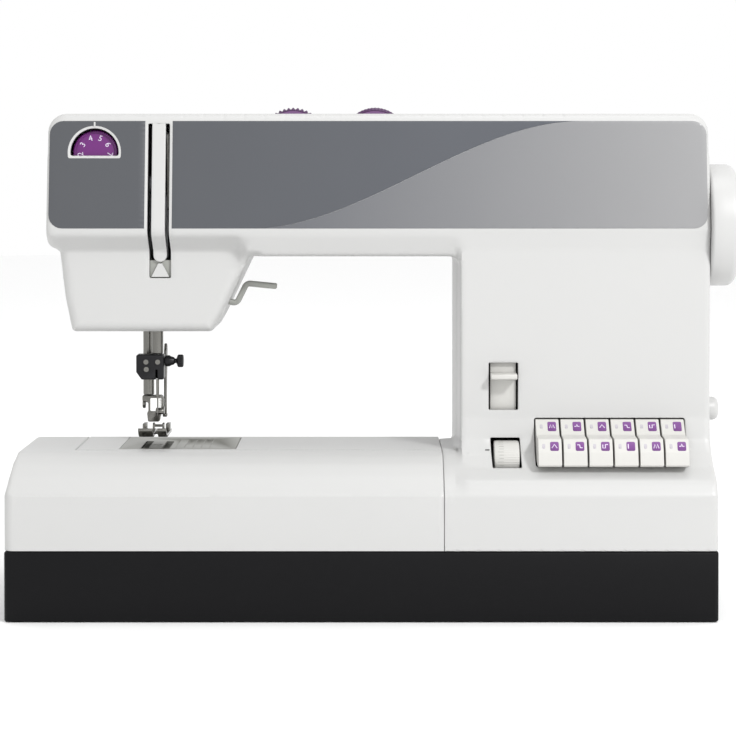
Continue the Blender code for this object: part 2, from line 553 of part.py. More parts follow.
def hook_group():
    y, z = HOOK_AXIS
    cup = [
        (0, 30.0), (3.0, 30.0), (3.0, 12.0), (HOOK_RADIUS, 12.0), (HOOK_RADIUS, 0.0),
        (HOOK_RADIUS - 1.8, 0.0), (HOOK_RADIUS - 1.8, 9.5), (0, 9.5),
    ]
    hook = turned("rotary_hook", cup, (-148.0, y, z), steps=32)
    pinion = plate("hook_pinion",
                   gear_outline(HOOK_AXIS, PINION_RADIUS, PINION_TEETH, math.pi / PINION_TEETH), "X",
                   -112.0, -104.0)
    join(hook, pinion)
    join(hook, rod("hook_shaft", (-120.0, y, z), (-105.0, y, z), 3.0, 20))
    finish(hook, "steel")
    case = [(12.6, 19.0), (12.6, 0.0), (10.6, 0.0), (10.6, 17.4), (1.8, 17.4), (1.8, 19.0)]
    finish(turned("bobbin_case", case, (-158.5, y, z), steps=28), "steel")
    spool = [(9.8, 15.0), (9.8, 13.8), (4.0, 13.8), (4.0, 1.2), (9.8, 1.2), (9.8, 0.0), (2.2, 0.0),
             (2.2, 15.0)]
    finish(turned("bobbin", spool, (-157.8, y, z), steps=24), "grey_plastic")
    cover = box("hook_cover", (ARM_END - 3.3, -48.0, 56.0), (ARM_END - 0.3, 10.0, 93.0),
                origin=(ARM_END - 1.8, -19.0, 57.0))
    finish(bevel(cover, 0.8), "white_plastic")


def needle_group():
    x, y = NEEDLE_X, NEEDLE_Y
    finish(rod("needle_bar", (x, y, 149.9), (x, y, 262.0), BAR_RADIUS, 20), "steel")
    top = MAIN_AXIS[1] + CRANK_RADIUS
    low = top - LINK_LENGTH
    link = plate("connecting_link", around((y, top), 4.5, (y, low), 5.0, 8), "X", -126.9, -124.9)
    finish(link, "cast_metal")
    clamp = box("needle_clamp", (x - 12.2, y - 7.0, 134.8), (x + 4.2, y + 6.0, 149.6))
    cut(clamp, box("clamp_split", (x - 0.9, y - 9.0, 130.0), (x + 0.9, y + 0.5, 142.0)))
    finish(bevel(clamp, 1.2), "dark_steel")
    head = [(0, 11.2), (3.9, 11.2), (3.9, 7.4), (1.4, 6.6), (1.4, 5.8), (3.4, 3.4), (3.4, 0.0), (0, 0.0)]
    screw = turned("needle_clamp_screw", head, (x + 4.5, y, 145.5), steps=20)
    finish(screw, "dark_steel")
    needle = rod("needle", (x, y, 112.0), (x, y, 134.5), 0.55, 12, 1.0)
    finish(needle, "steel")
    guide = box("needle_bar_guide", (x - 5.6, y - 5.6, 249.0), (x + 4.6, y + 8.9, 256.0))
    join(guide, box("guide_back", (x - 5.6, y + 5.5, 168.0), (x - 1.0, y + 8.9, 256.0)))
    join(guide, box("guide_low", (x - 5.6, y - 5.6, 167.0), (x + 4.6, y + 8.9, 173.0)))
    cut(guide, rod("guide_bore", (x, y, 160.0), (x, y, 262.0), BAR_RADIUS + GAP, 20))
    finish(guide, "cast_metal")
    loop = around((-40.0, 240.0), 4.0, (-43.4, 280.0), 2.4, 8)
    lever = plate("take_up_lever", loop, "X", -124.35, -123.35, origin=(-123.85, -40.0, 240.0),
                  holes=[circle(-43.4, 280.0, 1.1, 10)])
    finish(lever, "steel")


def presser_group():
    x, y = PRESSER_X, PRESSER_Y
    finish(rod("presser_bar", (x, y, 124.0), (x, y, 226.0), PRESSER_RADIUS, 20), "steel")
    collar = box("presser_collar", (x - 6.0, y - 5.0, 186.0), (x + 6.0, y + 5.0, 194.0), origin=(x, y, 190.0))
    cut(collar, rod("collar_bore", (x, y, 180.0), (x, y, 200.0), PRESSER_RADIUS + GAP, 20))
    finish(bevel(collar, 0.8), "cast_metal")
    ankle = box("presser_foot_holder", (x - 4.0, y - 5.0, 107.5), (x + 7.0, y + 4.0, 123.7))
    join(ankle, box("ankle_reach", (NEEDLE_X - 2.0, y - 7.0, 112.0), (NEEDLE_X + 3.0, y, 117.0)))
    finish(bevel(ankle, 1.0), "steel")
    low = FOOT_BOTTOM
    side = [(-9.0, low), (-36.0, low), (-42.0, low + 1.0), (-46.0, low + 3.6), (-46.0, low + 5.4),
            (-41.0, low + 3.0), (-36.0, low + 2.0), (-9.0, low + 2.0)]
    sole = plate("presser_foot", side[::-1], "X", -141.8, -125.0)
    join(sole, box("foot_bridge", (-136.0, -17.0, 102.0), (-129.0, -11.0, 107.2)))
    cut(sole,
        box("needle_slot", (NEEDLE_X - 3.6, NEEDLE_Y - 2.2, 90.0), (NEEDLE_X + 3.6, NEEDLE_Y + 3.0, 110.0)))
    cut(sole, box("toe_slot", (NEEDLE_X - 1.6, -50.0, 90.0), (NEEDLE_X + 1.6, NEEDLE_Y, 110.0)))
    finish(sole, "steel")
    arm_side = around((-1.0, 150.0), 4.0, (-3.5, 112.0), 3.0, 8)
    arm = plate("dual_feed_arm", arm_side, "X", -131.0, -128.0, origin=(-129.5, -1.0, 150.0))
    finish(arm, "dark_steel")
    y = LIFTER_Y
    route = [(LIFTER_X, LIFTER_Z), (-92.0, 181.4), (-84.7, 179.6), (-78.7, 191.7), (-60.5, 189.9)]
    lifter = plate("presser_lifter", ribbon(route, 1.8), "Y", y - 3.5, y + 3.5,
                   origin=(LIFTER_X, y, LIFTER_Z))
    join(lifter, rod("lifter_hub", (LIFTER_X, y - 4, LIFTER_Z), (LIFTER_X, y + 4, LIFTER_Z), 4.5, 20))
    finish(lifter, "grey_plastic")


def ribbon(route, half):
    """A bent flat strip of even thickness along a route."""
    upper, lower = [], []
    for i, here in enumerate(route):
        before = Vector(route[max(i - 1, 0)])
        after = Vector(route[min(i + 1, len(route) - 1)])
        way = (after - before).normalized()
        upper.append((here[0] - way.y * half, here[1] + way.x * half))
        lower.append((here[0] + way.y * half, here[1] - way.x * half))
    return lower + upper[::-1]


def feed_group():
    finish(box("feed_bar", (-121.0, -32.0, 82.3), (-70.0, -24.0, 85.1)), "cast_metal")
    dog = box("feed_dog", (NEEDLE_X - 8.2, -43.0, 87.0), (NEEDLE_X + 12.0, -13.0, 89.4))
    for across in (-6.2, 6.2):
        middle = NEEDLE_X + across
        join(dog, box("tooth_row", (middle - 1.6, -42.0, 89.0), (middle + 1.6, -14.0, 94.6)))
    cut(dog,
        box("needle_way", (NEEDLE_X - 3.4, NEEDLE_Y - 4.0, 80.0), (NEEDLE_X + 3.4, NEEDLE_Y + 4.0, 99.0)))
    finish(dog, "steel")


def accessory_tray():
    """Slides off to the left: front compartment, left end, a floor under the free arm and a low back."""
    right = COLUMN_BASE_LEFT - GAP
    side = [(-88.7, HOUSING_BOTTOM), (HOUSING_BACK, HOUSING_BOTTOM), (HOUSING_BACK, 60.0), (FREE_BACK, 62.0),
            (FREE_BACK, BED_TOP), (BED_CREST, BED_TOP), (-71.0, 87.5), (-82.0, 80.0), (-88.7, CREASE)]
    tray = plate("accessory_tray", side[::-1], "X", TRAY_LEFT, right)
    end = rounded(rectangle(TRAY_LEFT, -89.0, 60.0, 95.0), [6, 0, 0, 12])
    keep_common(tray, plate("tray_plan", end, "Z", 30.0, 120.0))
    end_slope = [(TRAY_LEFT - 5, 77.0), (TRAY_LEFT, 77.0), (-213.6, 82.0), (-211.5, 87.5), (-208.6, 92.5),
                 (-205.6, BED_TOP), (-205.6, 120.0), (TRAY_LEFT - 5, 120.0)]
    cut(tray, plate("end_slope", end_slope, "Y", -95.0, 95.0))
    pocket = box("arm_pocket", (ARM_END - 0.5, FREE_FRONT - 0.5, FREE_BOTTOM - 0.8),
                 (60.0, FREE_BACK + 0.5, 120.0))
    cut(tray, pocket)
    cut(tray, box("back_step", (ARM_END - 0.5, FREE_BACK, 61.0), (60.0, 90.0, 120.0)))
    cut(tray, box("flap_room", (ARM_END - 6.0, -50.0, 51.2), (ARM_END, 12.0, 120.0)))
    store = [(-86.2, 44.0), (FREE_FRONT + 5, 44.0), (FREE_FRONT + 5, 88.0), (-62.0, 88.0), (-79.5, 78.0),
             (-86.2, 71.0)]
    cut(tray, plate("store", store[::-1], "X", TRAY_LEFT + 14.0, right - WALL))
    return finish(smooth(tray), "white_plastic")


def dials():
    for name, across in (("stitch_width_dial", WIDTH_DIAL_X), ("stitch_length_dial", LENGTH_DIAL_X)):
        low, high = DIAL_Y - DIAL_WIDTH / 2, DIAL_Y + DIAL_WIDTH / 2
        outline = gear_outline((across, 278.0), DIAL_RADIUS - 0.6, 36)
        finish(plate(name, outline, "Y", low, high, origin=(across, DIAL_Y, 278.0)), "purple_plastic")
    dial = plate("tension_dial", circle(0.0, 0.0, TENSION_RADIUS - 0.7, 36), "Y", -1.6, 1.6, origin=(0, 0, 0))
    finish(lean_back(dial, TENSION_X, TENSION_Y, TENSION_Z), "purple_plastic")
    y, z = THUMB_AXIS
    wheel = plate("balance_wheel", circle(y, z, THUMB_RADIUS, 36), "X", THUMB_LEFT + 2.0, THUMB_RIGHT - 0.4,
                  origin=((THUMB_LEFT + THUMB_RIGHT) / 2, y, z))
    finish(wheel, "key_plastic")


def reverse_lever():
    left, right = REVERSE_LEFT + 1.0, REVERSE_RIGHT - 1.0
    lever = box("reverse_lever", (left, -65.0, 136.8), (right, -51.0, 140.9))
    join(lever, box("lever_slide", (left, -52.6, 115.6), (right, -49.0, 158.0)))
    return finish(bevel(lever, 0.8), "key_plastic")


def stitch_keys():
    side = [(-47.0, 113.4), (-55.0, 113.4), (-56.8, 112.6), (-63.4, 105.9), (-66.0, 104.9), (-74.6, 104.3),
            (-76.6, 103.2), (-80.2, 97.2), (-82.0, 90.5), (-81.5, 88.8), (-72.0, 88.3), (-47.0, 92.0)]
    for number in range(KEY_COUNT):
        left = KEY_LEFT + number * KEY_PITCH
        key = plate(f"stitch_key_{number + 1}", side[::-1], "X", left, left + KEY_WIDTH,
                    origin=(left + KEY_WIDTH / 2, *KEY_AXIS))
        finish(key, "key_plastic")


def side_fittings():
    knob = [(0, 20.0), (4.8, 20.0), (7.0, 17.5), (7.0, 0.0), (0, 0.0)]
    finish(turned("power_button", knob, (184.5, -28.0, 117.0), steps=24), "white_plastic")
    socket = box("mains_socket", (176.0, 25.5, 49.5), (SIDE_RIGHT - 0.5, 50.5, 68.5))
    cut(socket, box("socket_mouth", (181.0, 28.5, 52.5), (200.0, 47.5, 65.5)))
    finish(socket, "black_plastic")
    bulb = [(0, 26.0), (4.0, 26.0), (4.0, 10.0), (7.0, 7.0), (7.0, 4.0), (4.0, 0.0), (0, 0.0)]
    finish(turned("lamp", bulb, (-160.0, 12.0, 178.0), axis="Z", steps=20), "glass")


base_pan()
feet()
front_cover()
rear_cover()
face_panels()
thread_guide()
free_arm()
needle_plate()
frame_casting()
bushes()
main_shaft_group()
drive()
hook_group()
needle_group()
presser_group()
feed_group()
accessory_tray()
dials()
reverse_lever()
stitch_keys()
side_fittings()
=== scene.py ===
"""Looks of the sewing machine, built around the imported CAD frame. Lengths are millimetres, scaled by MM."""
import math

import bmesh
import bpy
import numpy as np
from mathutils import Matrix, Vector
from mathutils.geometry import delaunay_2d_cdt


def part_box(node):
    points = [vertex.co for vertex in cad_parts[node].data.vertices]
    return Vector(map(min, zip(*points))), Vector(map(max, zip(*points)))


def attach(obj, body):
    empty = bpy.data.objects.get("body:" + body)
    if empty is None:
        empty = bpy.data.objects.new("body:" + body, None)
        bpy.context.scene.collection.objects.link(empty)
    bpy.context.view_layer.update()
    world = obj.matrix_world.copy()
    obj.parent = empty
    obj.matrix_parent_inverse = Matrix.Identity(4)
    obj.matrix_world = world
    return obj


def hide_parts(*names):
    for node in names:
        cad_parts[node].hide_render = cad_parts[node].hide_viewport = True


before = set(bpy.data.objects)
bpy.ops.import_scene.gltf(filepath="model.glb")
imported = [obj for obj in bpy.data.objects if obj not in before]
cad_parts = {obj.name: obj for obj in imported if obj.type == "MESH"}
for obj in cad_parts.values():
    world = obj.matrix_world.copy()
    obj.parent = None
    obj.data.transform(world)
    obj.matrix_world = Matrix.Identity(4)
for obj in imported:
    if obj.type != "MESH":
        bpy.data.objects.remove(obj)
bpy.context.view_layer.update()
MM = 0.001


def span(node):
    """A CAD node's lowest and highest corners, in millimetres."""
    low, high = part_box(node)
    return low / MM, high / MM


# ---------------------------------------------------------------- sizes read from the frame
FRONT_LOW, FRONT_HIGH = span("front_cover")
TRAY_LOW, TRAY_HIGH = span("accessory_tray")
FREE_LOW, FREE_HIGH = span("free_arm")
BASE_LOW, BASE_HIGH = span("base_pan")
SPLIT = FRONT_HIGH.y
HEAD_LEFT, SIDE_RIGHT, ARM_TOP = FRONT_LOW.x, FRONT_HIGH.x, FRONT_HIGH.z
HOUSING_BOTTOM = FRONT_LOW.z
BED_TOP = FREE_HIGH.z
COLUMN_LEFT, COLUMN_BASE_LEFT, COLUMN_FRONT = 48.6, TRAY_HIGH.x + 0.3, -56.0
ARM_UNDERSIDE, HEAD_BOTTOM, CREASE = 209.0, 164.0, 73.0
HOUSING_BACK = span("rear_cover")[1].y
WALL = 1.2

# Face panel
PANEL_LOW, PANEL_HIGH = span("face_panel_right")[0].z + 0.2, span("face_panel_right")[1].z
PANEL_LEFT, PANEL_RIGHT = span("face_panel_left")[0].x, span("face_panel_right")[1].x
SLOT_LEFT, SLOT_RIGHT, SLOT_BOTTOM = -134.9, -122.2, 196.0
SLOT_RIM = 1.7
PANEL_LOW_Y, PANEL_HIGH_Y = -58.6, -49.6
TENSION_X, TENSION_Z, TENSION_RADIUS, TENSION_FLAT = -166.4, 270.2, 14.2, 268.3
REVERSE = (65.4, 118.9, 82.7, 146.7)
THUMB = (66.2, 86.7, 83.5, 102.9)
KEY_LEFT, KEY_RIGHT = span("stitch_key_1")[0].x, span("stitch_key_6")[1].x
KEYS = (KEY_LEFT - 1.0, 87.2, KEY_RIGHT + 1.0, 114.6)


# ---------------------------------------------------------------- small geometry helpers
def rounded(points, radii, steps=6):
    """Replace each corner of a closed outline by an arc of its radius."""
    result = []
    count = len(points)
    for i, (corner, radius) in enumerate(zip(points, radii)):
        here = Vector(corner)
        before = (Vector(points[i - 1]) - here).normalized()
        after = (Vector(points[(i + 1) % count]) - here).normalized()
        half = before.angle(after) / 2
        if radius <= 0 or half > math.radians(88):
            result.append(tuple(corner))
            continue
        centre = here + (before + after).normalized() * radius / math.sin(half)
        first = here + before * radius / math.tan(half) - centre
        last = here + after * radius / math.tan(half) - centre
        for step in range(steps + 1):
            spoke = first.slerp(last, step / steps).normalized() * radius
            result.append(tuple(centre + spoke))
    return result


def soft_line(points, radius, steps=5):
    """An open line through points with its inner corners rounded, as an array of points."""
    first, last = points[0], points[-1]
    closed = rounded(points, [0] + [radius] * (len(points) - 2) + [0], steps)
    assert closed[0] == tuple(first) and closed[-1] == tuple(last)
    return np.array(closed)


def rectangle(left, low, right, high):
    return [(left, low), (right, low), (right, high), (left, high)]


def round_box(left, low, right, high, radius, steps=6):
    return rounded(rectangle(left, low, right, high), [radius] * 4, steps)


def resample(loop, spacing):
    """Extra points along the long edges of a closed loop."""
    result = []
    for i, here in enumerate(loop):
        after = loop[(i + 1) % len(loop)]
        length = math.dist(here, after)
        pieces = max(1, round(length / spacing))
        for k in range(pieces):
            share = k / pieces
            result.append(tuple(h + (a - h) * share for h, a in zip(here, after)))
    return result


def distance_to(loop, points):
    """Distance from each point to a closed loop."""
    a = np.array(loop)
    run = np.roll(a, -1, axis=0) - a
    length = np.maximum((run ** 2).sum(1), 1e-12)
    best = np.full(len(points), 1e9)
    for start in range(0, len(points), 4000):
        block = points[start:start + 4000]
        reach = block[:, None, :] - a[None]
        share = np.clip((reach * run).sum(2) / length, 0, 1)
        gap = reach - share[..., None] * run
        best[start:start + 4000] = np.sqrt((gap ** 2).sum(2)).min(1)
    return best


def inside(loop, points):
    """Which points lie inside a closed loop."""
    a = np.array(loop)
    b = np.roll(a, -1, axis=0)
    found = np.zeros(len(points), bool)
    for (ax, ay), (bx, by) in zip(a, b):
        crosses = (ay > points[:, 1]) != (by > points[:, 1])
        slope = (bx - ax) / (by - ay) if by != ay else 0.0
        found ^= crosses & (points[:, 0] < ax + (points[:, 1] - ay) * slope)
    return found


def ring_at(loop, reach):
    """Points beside a loop, on its inner side when the loop runs anticlockwise."""
    a = np.array(loop)
    way = np.roll(a, -1, axis=0) - np.roll(a, 1, axis=0)
    way /= np.maximum(np.linalg.norm(way, axis=1), 1e-9)[:, None]
    return a + np.stack([-way[:, 1], way[:, 0]], 1) * reach


def edge_drop(distance, radius):
    """How far a quarter-round edge falls back at a distance from the edge."""
    reach = np.clip(radius - distance, 0, radius)
    return radius - np.sqrt(np.maximum(radius ** 2 - reach ** 2, 0))


def new_object(name, data):
    obj = bpy.data.objects.new(name, data)
    bpy.context.scene.collection.objects.link(obj)
    return obj


def from_shape(name, shape):
    """A bmesh made into an object in the scene."""
    mesh = bpy.data.meshes.new(name)
    shape.to_mesh(mesh)
    shape.free()
    return new_object(name, mesh)


def shade(obj, degrees=40):
    obj.data.shade_smooth()
    obj.data.set_sharp_from_angle(angle=math.radians(degrees))
    return obj


def solid_wall(obj, thickness):
    """Give an open skin its wall, on the inner side."""
    wall = obj.modifiers.new("wall", "SOLIDIFY")
    wall.thickness = thickness * MM
    wall.offset = -1.0
    return obj


def evaluated(obj):
    """The mesh of an object as it stands, with its modifiers."""
    bpy.context.view_layer.update()
    return bpy.data.meshes.new_from_object(obj.evaluated_get(bpy.context.evaluated_depsgraph_get()))


def apply(obj):
    """Turn an object's modifiers into its mesh."""
    mesh = evaluated(obj)
    obj.modifiers.clear()
    obj.data = mesh
    return obj


def cut(obj, gate):
    """Cut a gate's shape out of an object and remove the gate."""
    opening = obj.modifiers.new("cut", "BOOLEAN")
    opening.object = gate
    apply(obj)
    bpy.data.objects.remove(gate)
    return obj


def even(radius):
    """A rounding or a depth that is the same everywhere on a face."""
    return lambda u, v: np.full(len(u), radius)


SIDES = {
    "front": lambda u, v, w: (u, w, v),
    "back": lambda u, v, w: (u, w, v),
    "top": lambda u, v, w: (u, v, w),
    "right": lambda u, v, w: (w, u, v),
}


def relief(name, outer, windows, surface, side, back=None, edge=None, window_edge=0.4, window_depth=5.0,
           spacing=(4.0, 1.5)):
    """A skin drawn as an outline with windows, at the depth surface(u, v), with skirts along its edges.

    edge(u, v) is the radius of the rounding along the outer edge. The outer skirt ends at the depth back,
    or is as deep as the windows' skirts.
    """
    sign = 1 if side == "front" else -1
    outer = resample(outer, 3.0)
    windows = [resample(w, 2.0) for w in windows]
    loops = [outer] + windows
    points, edges, starts = [], [], []
    for loop in loops:
        starts.append(len(points))
        count = len(loop)
        edges += [(starts[-1] + i, starts[-1] + (i + 1) % count) for i in range(count)]
        points += loop
    extra = []
    most = float(np.max(edge(*np.array(outer).T))) if edge else 0.3
    for share in (0.04, 0.15, 0.35, 0.65, 1.0):
        extra.append(ring_at(outer, most * share))
    for window in windows:
        for share in (0.3, 1.0):
            extra.append(ring_at(window, -window_edge * share))
    low, high = np.min(outer, 0), np.max(outer, 0)
    grid = np.meshgrid(np.arange(low[0], high[0], spacing[0]), np.arange(low[1], high[1], spacing[1]))
    extra.append(np.stack([grid[0].ravel(), grid[1].ravel()], 1))
    inner = np.concatenate(extra)
    keep = inside(outer, inner) & (distance_to(outer, inner) > 0.03)
    for window in windows:
        keep &= ~inside(window, inner) & (distance_to(window, inner) > 0.08)
    points += [tuple(p) for p in inner[keep]]
    flat = [Vector(p) for p in points]
    vertices, _, faces, _, _, _ = delaunay_2d_cdt(flat, edges, [], 0, 1e-5)
    where = np.array([tuple(v) for v in vertices])
    middles = np.array([where[list(f)].mean(0) for f in faces])
    good = inside(outer, middles)
    for window in windows:
        good &= ~inside(window, middles)
    from_outer = distance_to(outer, where)
    depth = surface(where[:, 0], where[:, 1])
    if edge:
        depth = depth + sign * edge_drop(from_outer, edge(where[:, 0], where[:, 1]))
    for window in windows:
        depth = depth + sign * edge_drop(distance_to(window, where), window_edge)
    to_row = SIDES[side]
    shape = bmesh.new()
    verts = [shape.verts.new([c * MM for c in to_row(u, v, w)]) for (u, v), w in zip(where, depth)]
    for face, ok in zip(faces, good):
        if ok and len(set(face)) == 3:
            shape.faces.new([verts[i] for i in face])
    for vert in [v for v in shape.verts if not v.link_faces]:
        shape.verts.remove(vert)
    open_edges = [e for e in shape.edges if len(e.link_faces) == 1]
    made = bmesh.ops.extrude_edge_only(shape, edges=open_edges)["geom"]
    pulled = [v for v in made if isinstance(v, bmesh.types.BMVert)]
    axis = to_row(0, 0, 1).index(1)
    plane = [i for i in range(3) if i != axis]
    spots = np.array([[v.co[plane[0]] / MM, v.co[plane[1]] / MM] for v in pulled])
    on_outer = distance_to(outer, spots) < 0.02
    for vert, is_outer in zip(pulled, on_outer):
        if is_outer and back is not None:
            vert.co[axis] = back * MM
        else:
            vert.co[axis] += sign * window_depth * MM
    bmesh.ops.remove_doubles(shape, verts=shape.verts, dist=1e-6)
    bmesh.ops.recalc_face_normals(shape, faces=shape.faces)
    obj = from_shape(name, shape)
    total = sum((p.normal * p.area for p in obj.data.polygons), Vector())
    if total.dot(Vector(to_row(0, 0, -sign))) < 0:
        obj.data.flip_normals()
    return shade(obj)


def box(name, low, high, width=0.0, segments=3):
    low, high = Vector(low), Vector(high)
    shape = bmesh.new()
    bmesh.ops.create_cube(shape, size=1.0)
    bmesh.ops.scale(shape, vec=(high - low) * MM, verts=shape.verts)
    bmesh.ops.translate(shape, vec=(low + high) / 2 * MM, verts=shape.verts)
    obj = from_shape(name, shape)
    return bevel(obj, width, segments) if width else obj


def bevel(obj, width, segments=3, degrees=30):
    rounding = obj.modifiers.new("rounding", "BEVEL")
    rounding.width = width * MM
    rounding.segments = segments
    rounding.limit_method = "ANGLE"
    rounding.angle_limit = math.radians(degrees)
    rounding.harden_normals = True
    return shade(obj)


def prism(name, outline, side, low, high, width=0.0, segments=3):
    """An outline extruded along X ("right"), Y ("front") or Z ("top"), with its edges rounded."""
    shape = bmesh.new()
    to_row = SIDES[side]
    face = shape.faces.new([shape.verts.new([c * MM for c in to_row(u, v, low)]) for u, v in outline])
    made = bmesh.ops.extrude_face_region(shape, geom=[face])["geom"]
    run = Vector(to_row(0, 0, high - low)) * MM
    bmesh.ops.translate(shape, vec=run, verts=[v for v in made if isinstance(v, bmesh.types.BMVert)])
    bmesh.ops.recalc_face_normals(shape, faces=shape.faces)
    obj = from_shape(name, shape)
    return bevel(obj, width, segments) if width else shade(obj)


def turned(name, profile, centre, axis="X", steps=96, ribs=0, rib_depth=0.0, rib_zone=(0, 0)):
    """A profile of (radius, distance along the axis) points turned about an axis, with optional ribs."""
    shape = bmesh.new()
    turn = {"X": Matrix.Rotation(math.pi / 2, 4, "Y"), "Y": Matrix.Rotation(-math.pi / 2, 4, "X"),
            "Z": Matrix.Identity(4)}[axis]
    rows = []
    for radius, along in profile:
        row = []
        for step in range(steps):
            angle = 2 * math.pi * step / steps
            reach = radius
            if ribs and rib_zone[0] <= along <= rib_zone[1]:
                reach = radius - rib_depth * (0.5 - 0.5 * math.cos(angle * ribs))
            row.append(shape.verts.new((reach * math.cos(angle) * MM, reach * math.sin(angle) * MM,
                                        along * MM)))
        rows.append(row)
    for first, second in zip(rows, rows[1:]):
        for step in range(steps):
            after = (step + 1) % steps
            shape.faces.new((first[step], first[after], second[after], second[step]))
    for row in (rows[0], rows[-1]):
        if profile[0 if row is rows[0] else -1][0] > 0.05:
            shape.faces.new(row)
    bmesh.ops.remove_doubles(shape, verts=shape.verts, dist=1e-6)
    bmesh.ops.recalc_face_normals(shape, faces=shape.faces)
    bmesh.ops.transform(shape, matrix=Matrix.Translation(Vector(centre) * MM) @ turn, verts=shape.verts)
    return shade(from_shape(name, shape), 30)


def joined(name, *pieces):
    """Several pieces made one object, their modifiers applied."""
    bpy.context.view_layer.update()
    shape = bmesh.new()
    for piece in pieces:
        apply(piece)
        piece.data.transform(piece.matrix_world)
        shape.from_mesh(piece.data)
    for piece in pieces:
        bpy.data.objects.remove(piece)
    return shade(from_shape(name, shape), 35)


def piece(obj, body, slot, material, *replaced):
    """Finish a piece: its body, material and the CAD nodes that it stands for. The record slot argument is
    not used.
    """
    obj.data.materials.clear()
    obj.data.materials.append(material)
    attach(obj, body)
    if replaced:
        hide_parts(*replaced)
    return obj


# ---------------------------------------------------------------- materials
def linear(value):
    """An sRGB value from 0 to 255 as linear light."""
    value /= 255
    return value / 12.92 if value <= 0.04045 else ((value + 0.055) / 1.055) ** 2.4


def material(name, colour, roughness, metallic=0.0, grain=0.02, grain_size=900.0, mottle=0.03,
             mottle_size=25.0, roughness_spread=0.06, coat=0.0, stretch=(1, 1, 1), bump_distance=0.0002,
             specular=0.5):
    """A Principled material whose colour, roughness and relief vary with noise in the object's own space."""
    made = bpy.data.materials.new(name)
    made.use_nodes = True
    nodes, links = made.node_tree.nodes, made.node_tree.links
    shader = nodes["Principled BSDF"]
    shader.inputs["Metallic"].default_value = metallic
    shader.inputs["Coat Weight"].default_value = coat
    shader.inputs["Specular IOR Level"].default_value = specular
    shader.inputs["Coat Roughness"].default_value = 0.12
    place = nodes.new("ShaderNodeTexCoord")
    mapping = nodes.new("ShaderNodeMapping")
    mapping.inputs["Scale"].default_value = stretch
    links.new(place.outputs["Object"], mapping.inputs["Vector"])
    cloud = nodes.new("ShaderNodeTexNoise")
    cloud.inputs["Scale"].default_value = mottle_size
    cloud.inputs["Detail"].default_value = 4.0
    links.new(mapping.outputs["Vector"], cloud.inputs["Vector"])
    tint = nodes.new("ShaderNodeMix")
    tint.data_type = "RGBA"
    base = [linear(c) for c in colour]
    tint.inputs["A"].default_value = (*[c * (1 - mottle) for c in base], 1)
    tint.inputs["B"].default_value = (*[min(1, c * (1 + mottle)) for c in base], 1)
    links.new(cloud.outputs["Fac"], tint.inputs["Factor"])
    links.new(tint.outputs["Result"], shader.inputs["Base Color"])
    fine = nodes.new("ShaderNodeTexNoise")
    fine.inputs["Scale"].default_value = grain_size
    fine.inputs["Detail"].default_value = 3.0
    links.new(mapping.outputs["Vector"], fine.inputs["Vector"])
    spread = nodes.new("ShaderNodeMapRange")
    spread.inputs["To Min"].default_value = max(0.02, roughness - roughness_spread)
    spread.inputs["To Max"].default_value = roughness + roughness_spread
    links.new(cloud.outputs["Fac"], spread.inputs["Value"])
    links.new(spread.outputs["Result"], shader.inputs["Roughness"])
    bump = nodes.new("ShaderNodeBump")
    bump.inputs["Strength"].default_value = grain
    bump.inputs["Distance"].default_value = bump_distance
    links.new(fine.outputs["Fac"], bump.inputs["Height"])
    links.new(bump.outputs["Normal"], shader.inputs["Normal"])
    return made


def panel_film(name, left_colour, right_colour, start, end):
    """A satin grey film whose tone runs along the machine between two X positions."""
    made = material(name, left_colour, 0.34, grain=0.03, grain_size=1600, mottle=0.01, coat=0.25)
    nodes, links = made.node_tree.nodes, made.node_tree.links
    shader = nodes["Principled BSDF"]
    old = shader.inputs["Base Color"].links[0].from_socket
    place = next(n for n in nodes if n.type == "TEX_COORD")
    split = nodes.new("ShaderNodeSeparateXYZ")
    links.new(place.outputs["Object"], split.inputs["Vector"])
    along = nodes.new("ShaderNodeMapRange")
    along.inputs["From Min"].default_value = start * MM
    along.inputs["From Max"].default_value = end * MM
    links.new(split.outputs["X"], along.inputs["Value"])
    fade = nodes.new("ShaderNodeMix")
    fade.data_type = "RGBA"
    fade.inputs["B"].default_value = (*[linear(c) for c in right_colour], 1)
    links.new(along.outputs["Result"], fade.inputs["Factor"])
    links.new(old, fade.inputs["A"])
    links.new(fade.outputs["Result"], shader.inputs["Base Color"])
    return made


WHITE = material("white_plastic", (186, 186, 185), 0.40, grain=0.05, grain_size=1400, mottle=0.012,
                 mottle_size=14, roughness_spread=0.04)
BLACK = material("black_plastic", (11, 11, 13), 0.52, grain=0.16, grain_size=1500, mottle=0.12, specular=0.14)
# Near-black used as painted shade behind the keys, in the thread slot and behind the windows, and for the
# printed balance index mark.
GAP_SHADE_AND_INDEX_BLACK = material("painted_gap_shade_and_index_print", (12, 12, 13), 0.85, grain=0.05)
DARK_FILM = panel_film("dark_film", (69, 71, 75), (74, 77, 84), -190, 110)
LIGHT_FILM = panel_film("light_film", (88, 90, 95), (138, 138, 139), -60, 190)
PURPLE = material("purple_plastic", (98, 18, 106), 0.32, grain=0.05, mottle=0.06, coat=0.2)
DIAL_PURPLE = material("dial_purple", (64, 20, 72), 0.36, grain=0.06, mottle=0.06, coat=0.1)
BAND_PURPLE = material("dial_band", (116, 80, 124), 0.4, grain=0.05, mottle=0.05)
ICON = material("icon_print", (112, 62, 128), 0.45, grain=0.04, mottle=0.05)
PALE_PRINT = material("pale_print", (206, 196, 214), 0.5, grain=0.04)
GLYPH = material("glyph_print", (176, 172, 178), 0.5, grain=0.04)
KEY = material("key_plastic", (192, 191, 187), 0.44, grain=0.10, grain_size=1300, mottle=0.015)
GREY = material("grey_plastic", (150, 151, 146), 0.42, grain=0.10, grain_size=1200, mottle=0.04)
STEEL = material("polished_steel", (118, 117, 113), 0.24, 1.0, grain=0.06, grain_size=500, mottle=0.04,
                 stretch=(6, 6, 0.6))
